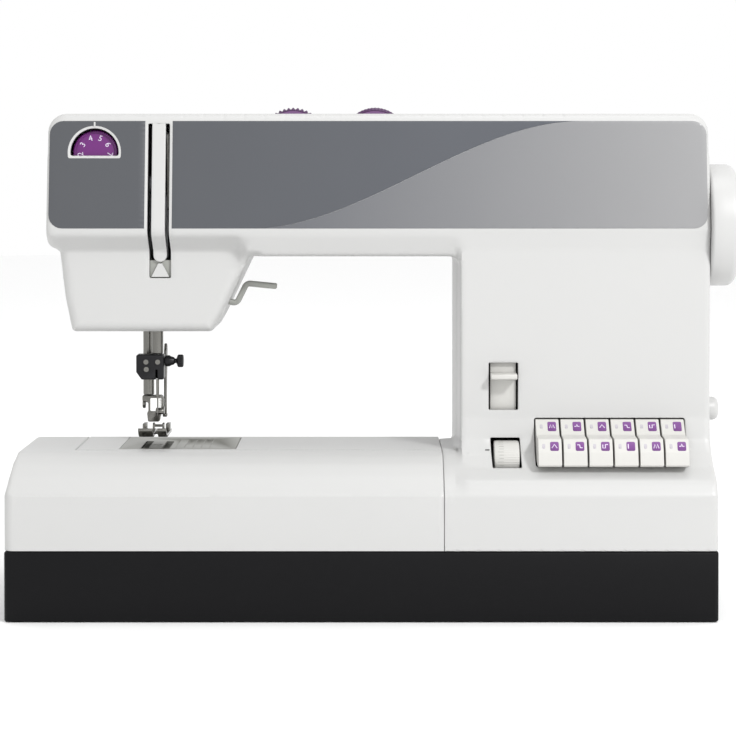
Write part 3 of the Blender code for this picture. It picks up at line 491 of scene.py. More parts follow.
# A near-white copy of the polished steel: painted reflection on the presser foot ankle's face.
PAINTED_REFLECTION_STEEL = material("steel_painted_reflection", (246, 246, 244), 0.22, 1.0, grain=0.04, grain_size=500, mottle=0.02)
PLATE = material("plate_steel", (150, 150, 145), 0.42, 0.85, grain=0.12, grain_size=700, mottle=0.05,
                 stretch=(0.25, 6, 6))
DARK_STEEL = material("blackened_steel", (34, 34, 36), 0.34, 0.7, grain=0.10, grain_size=800, mottle=0.15)
CAST = material("cast_metal", (168, 170, 172), 0.52, 0.9, grain=0.5, grain_size=420, mottle=0.08)
BRASS = material("machined_brass", (196, 164, 96), 0.30, 1.0, grain=0.08, grain_size=900, mottle=0.06)
RUBBER = material("foot_rubber", (36, 36, 36), 0.82, grain=0.3, grain_size=900, mottle=0.15)
BELT = material("belt_rubber", (28, 28, 29), 0.75, grain=0.35, grain_size=700, mottle=0.15)
GLASS = material("lamp_glass", (236, 232, 214), 0.08, grain=0.01, mottle=0.01, coat=0.5)


# ---------------------------------------------------------------- front cover
PANEL_SLOPE = (PANEL_HIGH_Y - PANEL_LOW_Y) / (PANEL_HIGH - PANEL_LOW)
PANEL_LINE = [(225.0, PANEL_LOW_Y), (PANEL_HIGH, PANEL_HIGH_Y),
              (ARM_TOP + 6, PANEL_HIGH_Y + 6 * PANEL_SLOPE)]
HEAD_SIDE = soft_line([(HEAD_BOTTOM - 8, -45.0), (212.0, -45.0), (221.5, -57.6), *PANEL_LINE], 3.0)
ARM_SIDE = soft_line([(HEAD_BOTTOM - 8, -50.5), (206.0, -50.5), (221.0, -57.6), *PANEL_LINE], 3.0)
COLUMN_SIDE = soft_line([(HOUSING_BOTTOM - 6, -89.0), (CREASE, -89.0), (80.5, -84.6), (87.0, -72.5),
                         (94.0, -63.6), (101.5, -59.0), (115.0, COLUMN_FRONT), (213.0, COLUMN_FRONT),
                         (222.0, -57.8), *PANEL_LINE], 2.4)
TRAY_SLOPE = [(0.0, CREASE), (3.0, 76.4), (10.0, 82.6), (20.0, 89.2), (28.0, 93.2), (34.0, 94.8),
              (40.0, BED_TOP)]
TRAY_DROP, TRAY_RISE = np.array(TRAY_SLOPE).T
FRONT_OUTLINE = rounded(
    [(-188.6, 212.5), (-185.4, 185.0), (-181.2, HEAD_BOTTOM), (-98.0, HEAD_BOTTOM), (-93.5, 171.8),
     (-89.8, 179.2), (-75.5, ARM_UNDERSIDE), (COLUMN_LEFT, ARM_UNDERSIDE), (COLUMN_LEFT, BED_TOP + 0.4),
     (COLUMN_BASE_LEFT, BED_TOP - 0.2), (COLUMN_BASE_LEFT, HOUSING_BOTTOM), (SIDE_RIGHT, HOUSING_BOTTOM),
     (SIDE_RIGHT, ARM_TOP), (HEAD_LEFT, ARM_TOP), (HEAD_LEFT, 215.0)],
    [4, 0, 3, 4, 0, 0, 3, 6.5, 4.0, 0, 0, 1.5, 11, 11, 5])


def blend_between(values, low, high):
    share = np.clip((values - low) / (high - low), 0, 1)
    return share * share * (3 - 2 * share)


def front_surface(x, z):
    """Depth of the front of arm, head, column and column base."""
    head = np.interp(z, HEAD_SIDE[:, 0], HEAD_SIDE[:, 1])
    arm = np.interp(z, ARM_SIDE[:, 0], ARM_SIDE[:, 1])
    column = np.interp(z, COLUMN_SIDE[:, 0], COLUMN_SIDE[:, 1])
    foot = np.interp(z, TRAY_RISE, TRAY_DROP) - 89.0
    left = head + (arm - head) * blend_between(x, -84.0, -76.0)
    right = np.where(z < 100, foot + (column - foot) * blend_between(x, 46.8, 49.4), column)
    share = np.where(z < 100, 1.0 * (x > 0), blend_between(x, COLUMN_LEFT - 1.6, COLUMN_LEFT + 0.4))
    return left + (right - left) * share


def front_edge(x, z):
    """Radius of the rounding along the outline."""
    radius = np.where(z > 270, 5.5, 4.0)
    radius = np.where((x < -60) & (z < 212), 6.0, radius)
    radius = np.where((x > -70) & (x < 60) & (z < 225), 2.0, radius)
    radius = np.where((x < 60) & (z < 97), 0.5, radius)
    radius = np.where((x > 150) & (z < 270), 2.0, radius)
    return np.where(z < HOUSING_BOTTOM + 4, 0.6, radius)


def tension_window(margin):
    """The D-shaped window, flat side down."""
    low = TENSION_FLAT - margin
    radius = TENSION_RADIUS + margin
    start = math.asin((low - TENSION_Z) / radius)
    sweep = [start + (math.pi - 2 * start) * i / 36 for i in range(37)]
    points = [(TENSION_X + radius * math.cos(a), TENSION_Z + radius * math.sin(a)) for a in sweep]
    return rounded(points, [1.0] + [0] * 35 + [1.0], 3)


def housings():
    slot = round_box(SLOT_LEFT, SLOT_BOTTOM, SLOT_RIGHT, 287.2, 0.8, 3)
    reverse = round_box(*REVERSE, 0.7, 3)
    thumb = rounded([(66.9, 86.7), (84.0, 86.7), (83.5, 102.9), (66.2, 102.9)], [0.6] * 4, 3)
    keys = rounded([(KEYS[0] + 0.3, KEYS[1]), (KEYS[2] + 0.2, KEYS[1]), (KEYS[2] - 0.3, KEYS[3] - 0.4),
                    (KEYS[0] + 0.3, KEYS[3] - 0.4)], [1.2] * 4, 3)
    front = relief("front_housing", FRONT_OUTLINE, [slot, tension_window(0.0), reverse, thumb, keys],
                   front_surface, "front", SPLIT, front_edge, window_edge=0.5, window_depth=2.6)
    piece(apply(solid_wall(front, WALL)), "housing", "white_plastic", WHITE, "front_cover")


REAR_STEP = 9.0


def rear_surface(x, z):
    """Depth of the back of arm, head and column."""
    head = 32.0 + (HOUSING_BACK - 32.0) * blend_between(z, 205.0, 215.0)
    return head + (HOUSING_BACK - head) * blend_between(x, 30.0, COLUMN_LEFT)


def rear_edge(x, z):
    radius = np.where(z > 150, 6.0, 4.0)
    radius = np.where((x > -70) & (x < 60) & (z < 225), 2.5, radius)
    return np.where((z < HOUSING_BOTTOM + 4) | ((x < 60) & (z < 97)), 0.6, radius)


def rear_housing():
    vents = []
    for row in range(2):
        for number in range(9):
            left = 84.0 + number * 9.0
            vents.append(round_box(left, 66.0 + row * 26.0, left + 3.2, 86.0 + row * 26.0, 1.5, 3))
    grip = round_box(-70.0, 246.0, 60.0, 268.0, 8.0)
    outline = [(x, z - REAR_STEP if 0 < x < COLUMN_LEFT and 60 < z < 110 else z) for x, z in FRONT_OUTLINE]
    rear = relief("rear_housing", outline, vents + [grip], rear_surface, "back", SPLIT + 0.3, rear_edge,
                  window_edge=0.8, window_depth=6.0)
    floor = relief("grip_floor", resample(round_box(-70.4, 245.6, 60.4, 268.4, 8.4), 6), [],
                   even(HOUSING_BACK - 5.8), "back", edge=even(0.3), window_depth=0.5)
    apply(solid_wall(rear, WALL))
    socket_low, socket_high = span("mains_socket")
    gate = box("socket_gate", socket_low - Vector((4, 0.3, 0.3)), socket_high + Vector((6, 0.3, 0.3)))
    piece(shade(cut(rear, gate)), "housing", "white_plastic", WHITE, "rear_cover")
    piece(floor, "housing", "white_plastic", WHITE)


# ---------------------------------------------------------------- face panel and thread slot
SWOOSH_LEFT, SWOOSH_RIGHT = -74.0, 120.0
PANEL_CORNER = 8.0


def film_surface(x, z):
    return front_surface(x, z) - 0.18


def swoosh(count=40):
    """The soft S between the two tones of the panel, from its lower edge to its upper edge."""
    share = np.linspace(0, 1, count)
    rise = share * share * (3 - 2 * share)
    return [(SWOOSH_LEFT + (SWOOSH_RIGHT - SWOOSH_LEFT) * s, PANEL_LOW + (PANEL_HIGH - PANEL_LOW) * r)
            for s, r in zip(share, rise)]


def panels():
    thin = {"edge": even(0.15), "window_edge": 0.1, "window_depth": 0.8}
    left = rounded(rectangle(PANEL_LEFT, PANEL_LOW, SLOT_LEFT - SLOT_RIM, PANEL_HIGH),
                   [PANEL_CORNER, 0, 0, PANEL_CORNER])
    film = relief("panel_left", left, [tension_window(1.5)], film_surface, "front", **thin)
    piece(film, "housing", "grey_panel", DARK_FILM, "face_panel_left")
    wave = swoosh()
    start = SLOT_RIGHT + SLOT_RIM
    dark = [(start, PANEL_LOW)] + wave[:-1] + [(SWOOSH_RIGHT - 0.5, PANEL_HIGH), (start, PANEL_HIGH)]
    film = relief("panel_dark", dark, [], film_surface, "front", **thin)
    piece(film, "housing", "grey_panel", DARK_FILM, "face_panel_right")
    corner = rounded(rectangle(0, PANEL_LOW, PANEL_RIGHT, PANEL_HIGH), [0, PANEL_CORNER, PANEL_CORNER, 0])
    right_side = [p for p in corner if p[0] > 1]
    light = right_side + [(x + 0.25, z) for x, z in wave[::-1]]
    film = relief("panel_light", light, [], film_surface, "front", **thin)
    piece(film, "housing", "grey_panel", LIGHT_FILM)


def thread_slot():
    low, high = span("thread_guide")
    middle, half = (low.x + high.x) / 2, (high.x - low.x) / 2
    foot = [(middle + half * math.cos(a), low.z + half + half * math.sin(a))
            for a in np.linspace(math.pi, 2 * math.pi, 15)]
    strip = relief("thread_strip", foot + [(high.x, 287.7), (low.x, 287.7)], [],
                   lambda x, z: front_surface(x, z) + 0.12, "front", edge=even(0.6), window_depth=2.4,
                   spacing=(2.0, 1.5))
    piece(strip, "housing", "white_plastic", WHITE, "thread_guide")
    nib = prism("slot_nib", [(SLOT_LEFT + 1.0, SLOT_BOTTOM + 0.6), (SLOT_RIGHT - 1.0, SLOT_BOTTOM + 0.6),
                             (middle + 1.2, 204.6), (middle - 1.2, 204.6)], "front", -44.6, -43.0, 0.25)
    piece(nib, "housing", "white_plastic", WHITE)
    back = box("slot_window", (SLOT_LEFT + 0.15, -42.6, SLOT_BOTTOM + 0.2), (SLOT_RIGHT - 0.15, -42.1, 206.5),
               0.1)
    piece(back, "housing", "grey_plastic", GREY)
    # Black walls along the thread slot's sides: painted shade in the slot.
    for name, left, right in (("slot_painted_shade_left", SLOT_LEFT - 0.6, SLOT_LEFT - 0.1),
                              ("slot_painted_shade_right", SLOT_RIGHT + 0.1, SLOT_RIGHT + 0.6)):
        side = [(-43.6, 206.5), (-43.4, 212.5), (-53.4, 224.5), (-44.6, 287.0), (-38.0, 287.0),
                (-46.0, 225.0), (-40.0, 206.5)]
        piece(prism(name, side, "right", left, right), "housing", "black_plastic", GAP_SHADE_AND_INDEX_BLACK)


# ---------------------------------------------------------------- accessory tray and base
TRAY_FRONT, TRAY_CREST, END_STRETCH, TRAY_CORNER = TRAY_LOW.y + 0.1, 33.0, 6.0, 6.0


def tray_surface(x, y):
    """Height of the tray's top: a soft slope that runs along the front and round the left end."""
    front = np.clip(TRAY_CREST - (y - TRAY_FRONT), 0, None)
    end = np.clip(TRAY_CREST - (x - TRAY_LOW.x) * END_STRETCH, 0, None)
    inward = TRAY_CREST - (front ** 5 + end ** 5) ** 0.2
    return np.interp(inward, TRAY_DROP * TRAY_CREST / TRAY_DROP[-1], TRAY_RISE)


def tray():
    corner = [(TRAY_LOW.x + TRAY_CORNER * (1 - math.cos(a)), TRAY_FRONT + TRAY_CORNER * (1 - math.sin(a)))
              for a in np.linspace(0.0, math.pi / 2, 12)]
    plan = corner + [(TRAY_HIGH.x, TRAY_FRONT), (TRAY_HIGH.x, FREE_LOW.y - 0.5),
                     (FREE_LOW.x - 0.5, FREE_LOW.y - 0.5), (FREE_LOW.x - 0.5, FREE_HIGH.y),
                     (TRAY_LOW.x, FREE_HIGH.y)]
    top = relief("tray_top", plan, [], tray_surface, "top", HOUSING_BOTTOM + 0.1,
                 edge=even(0.7), spacing=(1.5, 1.5))
    apply(solid_wall(top, WALL))
    floor = box("tray_floor", (FREE_LOW.x - 6, FREE_LOW.y - 2, HOUSING_BOTTOM + 0.1),
                (TRAY_HIGH.x, FREE_HIGH.y + 2, FREE_LOW.z - WALL), 0.5)
    back_outline = rounded(rectangle(-208.4, FREE_HIGH.y + 0.2, TRAY_HIGH.x, TRAY_HIGH.y), [0, 0, 3, 12])
    back = prism("tray_back", back_outline, "top", HOUSING_BOTTOM + 0.1, 60.0, 1.6, 4)
    piece(joined("tray_shell", top, floor, back), "tray", "white_plastic", WHITE, "accessory_tray")


def base():
    plan = rounded(rectangle(BASE_LOW.x, BASE_LOW.y, BASE_HIGH.x, BASE_HIGH.y), [3] * 4, 8)
    shell = prism("base_shell", plan, "top", BASE_LOW.z, BASE_HIGH.z - 0.1, 1.1, 4)
    for number in range(1, 5):
        low, high = span(f"foot_{number}")
        middle = (low + high) / 2
        gate = box("gate", (middle.x - 10, middle.y - 10, 0), (middle.x + 10, middle.y + 10, BASE_LOW.z + 4))
        cut(shell, gate)
        profile = [(0.0, 0.0), (7.6, 0.0), (8.6, 0.5), (9.0, 1.4), (9.0, 6.2), (0.0, 6.2)]
        foot = turned(f"rubber_foot_{number}", profile, (middle.x, middle.y, low.z), "Z", 48)
        piece(foot, "housing", "rubber", RUBBER, f"foot_{number}")
    piece(shade(shell), "housing", "black_plastic", BLACK, "base_pan")


housings()
rear_housing()
panels()
thread_slot()
tray()
base()


# ---------------------------------------------------------------- controls
def decal(outline, centre, lean, thickness=0.14):
    """A thin printed shape standing on a face that leans back by an angle."""
    obj = prism("decal", outline, "front", -thickness, 0.25, 0.05, 1)
    apply(obj)
    obj.data.transform(Matrix.Translation(Vector(centre) * MM) @ Matrix.Rotation(-lean, 4, "X"))
    return obj


KEY_SIDE = [(-47.0, 113.4), (-56.4, 113.4), (-64.4, 105.0), (-76.4, 104.2), (-80.3, 97.0), (-82.0, 89.4),
            (-80.0, 88.4), (-72.0, 88.4), (-47.0, 92.4)]
UPPER_FACE, LOWER_FACE = ((-60.0, 109.6), math.radians(43.6)), ((-78.55, 100.2), math.radians(28.4))
STITCHES = [
    [(-2, -1.6), (-2, 1.6)], [(-2, -1.4), (-1, 1.4), (0, -1.4), (1, 1.4), (2, -1.4)],
    [(-2, 0), (-0.6, 0), (0, 1.6), (0.6, 0), (2, 0)], [(-2, -1.2), (0, 1.4), (2, -1.2)],
    [(-2, 1), (-0.2, 1), (0.2, -1), (2, -1)], [(-2, 1.2), (-2, -1.2), (0, -1.2), (0, 1.2), (2, 1.2)],
]


def stroke(route, half):
    """A thin bent line as an outline."""
    upper, lower = [], []
    for i, here in enumerate(route):
        before, after = Vector(route[max(i - 1, 0)]), Vector(route[min(i + 1, len(route) - 1)])
        way = (after - before).normalized()
        upper.append((here[0] - way.y * half, here[1] + way.x * half))
        lower.append((here[0] + way.y * half, here[1] - way.x * half))
    return lower + upper[::-1]


def stitch_keys():
    side = rounded(KEY_SIDE, [0.4, 1.4, 2.6, 1.6, 2.5, 0.8, 0.6, 0, 0], 5)
    for number in range(1, 7):
        low, high = span(f"stitch_key_{number}")
        body = f"key_{number}"
        middle = (low.x + high.x) / 2
        key = prism(f"key_cap_{number}", side[::-1], "right", low.x, high.x, 0.7, 3)
        piece(apply(key), body, "key_plastic", KEY, f"stitch_key_{number}")
        icons, motifs, glyphs = [], [], []
        for row, ((y, z), lean) in enumerate((UPPER_FACE, LOWER_FACE)):
            half = 3.4 - 0.6 * row
            icons.append(decal(round_box(-2.5, -half, 2.5, half, 0.9, 4), (middle + 2.6, y, z), lean))
            route = [(x * 0.75, up * 0.9) for x, up in STITCHES[(number + 2 * row) % 6]]
            motifs.append(decal(stroke(route, 0.3), (middle + 2.6, y, z), lean, 0.2))
            glyphs.append(decal(round_box(-0.9, -1.5, 0.9, 1.5, 0.5, 3), (middle - 3.6, y, z), lean, 0.06))
        piece(joined(f"key_icons_{number}", *icons), body, "purple_plastic", ICON)
        piece(joined(f"key_motifs_{number}", *motifs), body, "key_plastic", PALE_PRINT)
        piece(joined(f"key_glyphs_{number}", *glyphs), body, "key_plastic", GLYPH)
    # A black box set behind the keys: painted shade in the gaps between and around them.
    bed = box("key_painted_gap_shade", (KEYS[0] - 1, -54.5, KEYS[1] - 1), (KEYS[2] + 2, -45.0, KEYS[3] + 0.6), 0.2)
    bed.data.transform(Matrix.Translation((0, 9 * MM, 0)))
    piece(bed, "housing", "black_plastic", GAP_SHADE_AND_INDEX_BLACK)


def dials():
    for name, node, ribs, depth in (("width_knob", "stitch_width_dial", 44, 1.1),
                                    ("length_knob", "stitch_length_dial", 60, 0.25)):
        low, high = span(node)
        middle = (low + high) / 2
        radius, half = (high.x - low.x) / 2, (high.y - low.y) / 2
        rim = [(6.0, 0.0), (radius - 5, 0.0), (radius - 4.4, 0.8), (radius - 1.6, 0.8), (radius - 0.4, 1.6),
               (radius, 2.6), (radius, 2 * half - 2.6), (radius - 0.4, 2 * half - 1.6),
               (radius - 1.6, 2 * half - 0.8), (radius - 4.4, 2 * half - 0.8), (radius - 5, 2 * half),
               (6.0, 2 * half)]
        knob = turned(name, rim, (middle.x, low.y, middle.z), "Y", 264, ribs, depth, (1.2, 2 * half - 1.2))
        body = name.split("_")[0] + "_dial"
        piece(knob, body, "purple_plastic", DIAL_PURPLE, node)
        band = [(radius - 4.0, 0.55), (radius - 2.2, 0.55), (radius - 2.2, 0.9), (radius - 4.0, 0.9),
                (radius - 4.0, 0.55)]
        ring = turned(name + "_band", band, (middle.x, low.y, middle.z), "Y", 128)
        piece(ring, body, "purple_plastic", BAND_PURPLE)


DIGIT_SIZE, DIGIT_HEIGHT, DIGIT_RADIUS = 4.8, 0.06, 8.6


def tension():
    low, high = span("tension_dial")
    middle = (low + high) / 2
    lean = math.atan2(PANEL_HIGH_Y - PANEL_LOW_Y, PANEL_HIGH - PANEL_LOW)
    to_row = Matrix.Translation(middle * MM) @ Matrix.Rotation(-lean, 4, "X")
    rim = [(3.0, -1.4), (10.8, -1.4), (11.2, -1.3), (11.6, -1.0), (12.9, -0.9), (13.4, -0.5), (13.4, 1.4),
           (3.0, 1.4)]
    disc = turned("tension_disc", rim, (0, 0, 0), "Y", 320, 64, 0.7, (-1.05, 1.5))
    disc.data.transform(to_row)
    piece(disc, "tension_dial", "purple_plastic", PURPLE, "tension_dial")
    marks = []
    for number in range(1, 10):
        angle = math.radians(90 + (4.5 - number) * 39)
        text = bpy.data.curves.new("digit", "FONT")
        text.body = str(number)
        text.size = DIGIT_SIZE * MM
        text.extrude = DIGIT_HEIGHT * MM
        text.align_x = "CENTER"
        text.align_y = "CENTER"
        digit = new_object("digit", text)
        mesh = evaluated(digit)
        bpy.data.objects.remove(digit)
        spot = Vector((DIGIT_RADIUS * math.cos(angle), -1.46, DIGIT_RADIUS * math.sin(angle))) * MM
        turn = Matrix.Rotation(math.pi / 2 - angle, 4, "Y") @ Matrix.Rotation(math.pi / 2, 4, "X")
        mesh.transform(to_row @ Matrix.Translation(spot) @ turn)
        marks.append(new_object(f"mark_{number}", mesh))
    piece(joined("tension_digits", *marks), "tension_dial", "key_plastic", PALE_PRINT)
    outline = rectangle(TENSION_X - 0.5, 285.4, TENSION_X + 0.5, 288.2)
    mark = prism("tension_index", outline, "front", -50.5, -49.3)
    piece(mark, "housing", "white_plastic", WHITE)


def wheel():
    low, high = span("handwheel")
    axis_y, axis_z = (low.y + high.y) / 2, (low.z + high.z) / 2
    rim = (high.z - low.z) / 2
    outer = high.x - low.x
    curve = [(rim - 5.0 + 5.0 * math.cos(a), outer - 6.8 + 5.0 * math.sin(a))
             for a in np.linspace(0, 1.3, 12)]
    face = [(rim - 6.5, outer - 1.5), (rim - 10.0, outer - 1.1), (rim - 16.0, outer - 0.6),
            (10.0, outer - 0.2), (6.0, outer), (0.0, outer)]
    flank = [(0.0, 0.0), (20.0, 0.0), (20.0, 8.0), (9.0, 8.0), (9.0, outer - 18.95),
             (rim - 1.6, outer - 18.95), (rim - 0.8, outer - 18.6), (rim - 0.2, outer - 17.9),
             (rim, outer - 17.2), (rim, outer - 12.0)]
    knob = turned("hand_wheel", flank + curve + face, (low.x, axis_y, axis_z), "X", 128)
    piece(knob, "drive", "white_plastic", WHITE, "handwheel")
    grips = []
    for number in range(3):
        angle = 2 * math.pi * number / 3 + 0.5
        dish = prism("dish", round_box(-5, -1.1, 5, 1.1, 1.0, 5), "right", -0.25, 0.25, 0.2, 2)
        apply(dish)
        spot = Vector((high.x - 0.75, axis_y + 21.5 * math.cos(angle), axis_z + 21.5 * math.sin(angle)))
        dish.data.transform(Matrix.Translation(spot * MM) @ Matrix.Rotation(angle + math.pi / 2, 4, "X"))
        grips.append(dish)
    piece(joined("wheel_grips", *grips), "drive", "white_plastic", WHITE)


def small_controls():
    low, high = span("balance_wheel")
    middle = (low + high) / 2
    radius, width = (high.z - low.z) / 2, high.x - low.x
    rim = [(2.0, 0.0), (radius - 1.2, 0.0), (radius - 0.3, 0.4), (radius, 1.2), (radius, width - 1.2),
           (radius - 0.3, width - 0.4), (radius - 1.2, width), (2.0, width)]
    thumb = turned("balance_roller", rim, (low.x, middle.y, middle.z), "X", 240, 48, 0.28,
                   (width * 0.48, width - 1))
    piece(thumb, "balance_wheel", "key_plastic", KEY, "balance_wheel")
    marks = []
    for number in range(36):
        tick = box("tick", (-1.4 if number % 3 else -2.2, -0.12, radius - 0.1), (1.2, 0.12, radius + 0.05))
        tick.data.transform(Matrix.Translation(Vector((low.x + 4.3, middle.y, middle.z)) * MM)
                            @ Matrix.Rotation(2 * math.pi * number / 36, 4, "X"))
        marks.append(tick)
    piece(joined("balance_scale", *marks), "balance_wheel", "grey_plastic", GREY)
    index = box("balance_index", (63.0, -62.7, 95.9), (65.6, -60.0, 96.4), 0.1)
    piece(index, "housing", "black_plastic", GAP_SHADE_AND_INDEX_BLACK)
    low, high = span("reverse_lever")
    ledge = prism("ledge", rounded([(-65.0, 137.6), (-64.7, 140.4), (-50.0, 140.8), (-50.0, 137.0),
                                    (-60.0, 137.0)], [0.9, 0.9, 0, 0, 2], 4), "right", low.x, high.x, 0.4)
    slide = box("slide", (low.x, -52.2, low.z + 0.2), (high.x, -49.2, high.z), 0.5)
    piece(joined("reverse_slider", ledge, slide), "reverse_lever", "key_plastic", KEY, "reverse_lever")
    # Black plates behind the reverse lever and balance wheel windows: painted shade in their gaps.
    for name, (left, floor, right, top), depth in (("reverse_painted_gap_shade", REVERSE, -46.5),
                                                   ("balance_painted_gap_shade", THUMB, -37.5)):
        back = box(name, (left - 1.6, depth, floor - 12), (right + 1.6, depth + 0.6, top + 12), 0.1)
        piece(back, "housing", "black_plastic", GAP_SHADE_AND_INDEX_BLACK)
    low, high = span("power_button")
    middle = (low + high) / 2
    length = high.x - low.x
    knob = [(0.0, 0.0), (7.0, 0.0), (7.0, length - 3.6), (6.6, length - 2.0), (5.6, length - 0.8),
            (4.2, length - 0.3), (2.0, length - 0.7), (0.0, length - 0.9)]
    piece(turned("power_cap", knob, (low.x, middle.y, middle.z), "X", 64), "power_button", "white_plastic",
          WHITE, "power_button")
    collar = [(7.3, 0.0), (9.4, 0.0), (9.4, 0.5), (8.9, 0.9), (7.3, 0.9)]
    ring = turned("power_ring", collar + [(7.3, 0.0)], (SIDE_RIGHT - 0.1, middle.y, middle.z), "X", 64)
    piece(ring, "housing", "grey_plastic", GREY)


stitch_keys()
dials()
tension()
wheel()
small_controls()


# ---------------------------------------------------------------- needle, presser foot and feed
NEEDLE_SPOT = (span("needle")[0] + span("needle")[1]) / 2
BAR_SPOT = (span("presser_bar")[0] + span("presser_bar")[1]) / 2


def needle_area():
    low, high = span("needle_bar")
    radius = (high.x - low.x) / 2
    length = high.z - low.z
    bar = [(0.0, 0.0), (radius - 0.5, 0.0), (radius, 0.5), (radius, length - 0.5), (radius - 0.5, length),
           (0, length)]
    piece(turned("needle_rod", bar, (NEEDLE_SPOT.x, NEEDLE_SPOT.y, low.z), "Z", 48), "needle_bar",
          "polished_steel", STEEL, "needle_bar")
    low, high = span("needle")
    length = high.z - low.z
    tip = [(0.0, 0.0), (0.16, 0.5), (0.42, 3.0), (0.45, length - 10.5), (0.9, length - 9.5), (0.95, length),
           (0, length)]
    shank = turned("needle_shank", tip, (NEEDLE_SPOT.x, NEEDLE_SPOT.y, low.z), "Z", 32)
    piece(shank, "needle_bar", "polished_steel", STEEL, "needle")
    low, high = span("needle_clamp")
    side = rounded([(low.x + 3.2, low.z), (high.x, low.z), (high.x, high.z), (low.x, high.z),
                    (low.x, low.z + 4.4)], [0.8, 0.8, 1.2, 1.0, 1.0], 4)
    block = prism("clamp_block", side, "front", low.y, high.y - 1.0, 0.9, 3)
    split = box("split", (NEEDLE_SPOT.x - 0.7, low.y - 1, low.z - 1),
                (NEEDLE_SPOT.x + 0.7, NEEDLE_SPOT.y, low.z + 6))
    piece(shade(cut(block, split)), "needle_bar", "blackened_steel", DARK_STEEL, "needle_clamp")
    heads = []
    for across, up in ((low.x + 6.0, high.z - 4.2), (high.x - 3.4, high.z - 4.2),
                       (low.x + 6.2, high.z - 8.6)):
        rim = [(0.0, 0.0), (1.5, 0.0), (1.5, 0.9), (1.2, 1.2), (0.0, 1.2)]
        heads.append(turned("head", rim, (across, low.y + 0.3, up), "Y", 32))
        heads[-1].data.transform(Matrix.Translation((0, -1.3 * MM, 0)))
    piece(joined("clamp_studs", *heads), "needle_bar", "polished_steel", STEEL)
    low, high = span("needle_clamp_screw")
    middle, length = (low + high) / 2, high.x - low.x
    screw = [(0.0, 0.0), (3.0, 0.0), (3.4, 0.4), (3.4, 2.6), (2.8, 3.6), (2.2, 5.4), (1.4, 6.0), (1.4, 6.8),
             (3.0, 7.4), (3.8, 7.9), (3.8, length - 0.8), (3.4, length - 0.2), (2.4, length), (0.0, length)]
    piece(turned("clamp_thumbscrew", screw, (low.x, middle.y, middle.z), "X", 160, 20, 0.35,
                 (7.8, length - 0.7)), "clamp_screw", "blackened_steel", DARK_STEEL, "needle_clamp_screw")


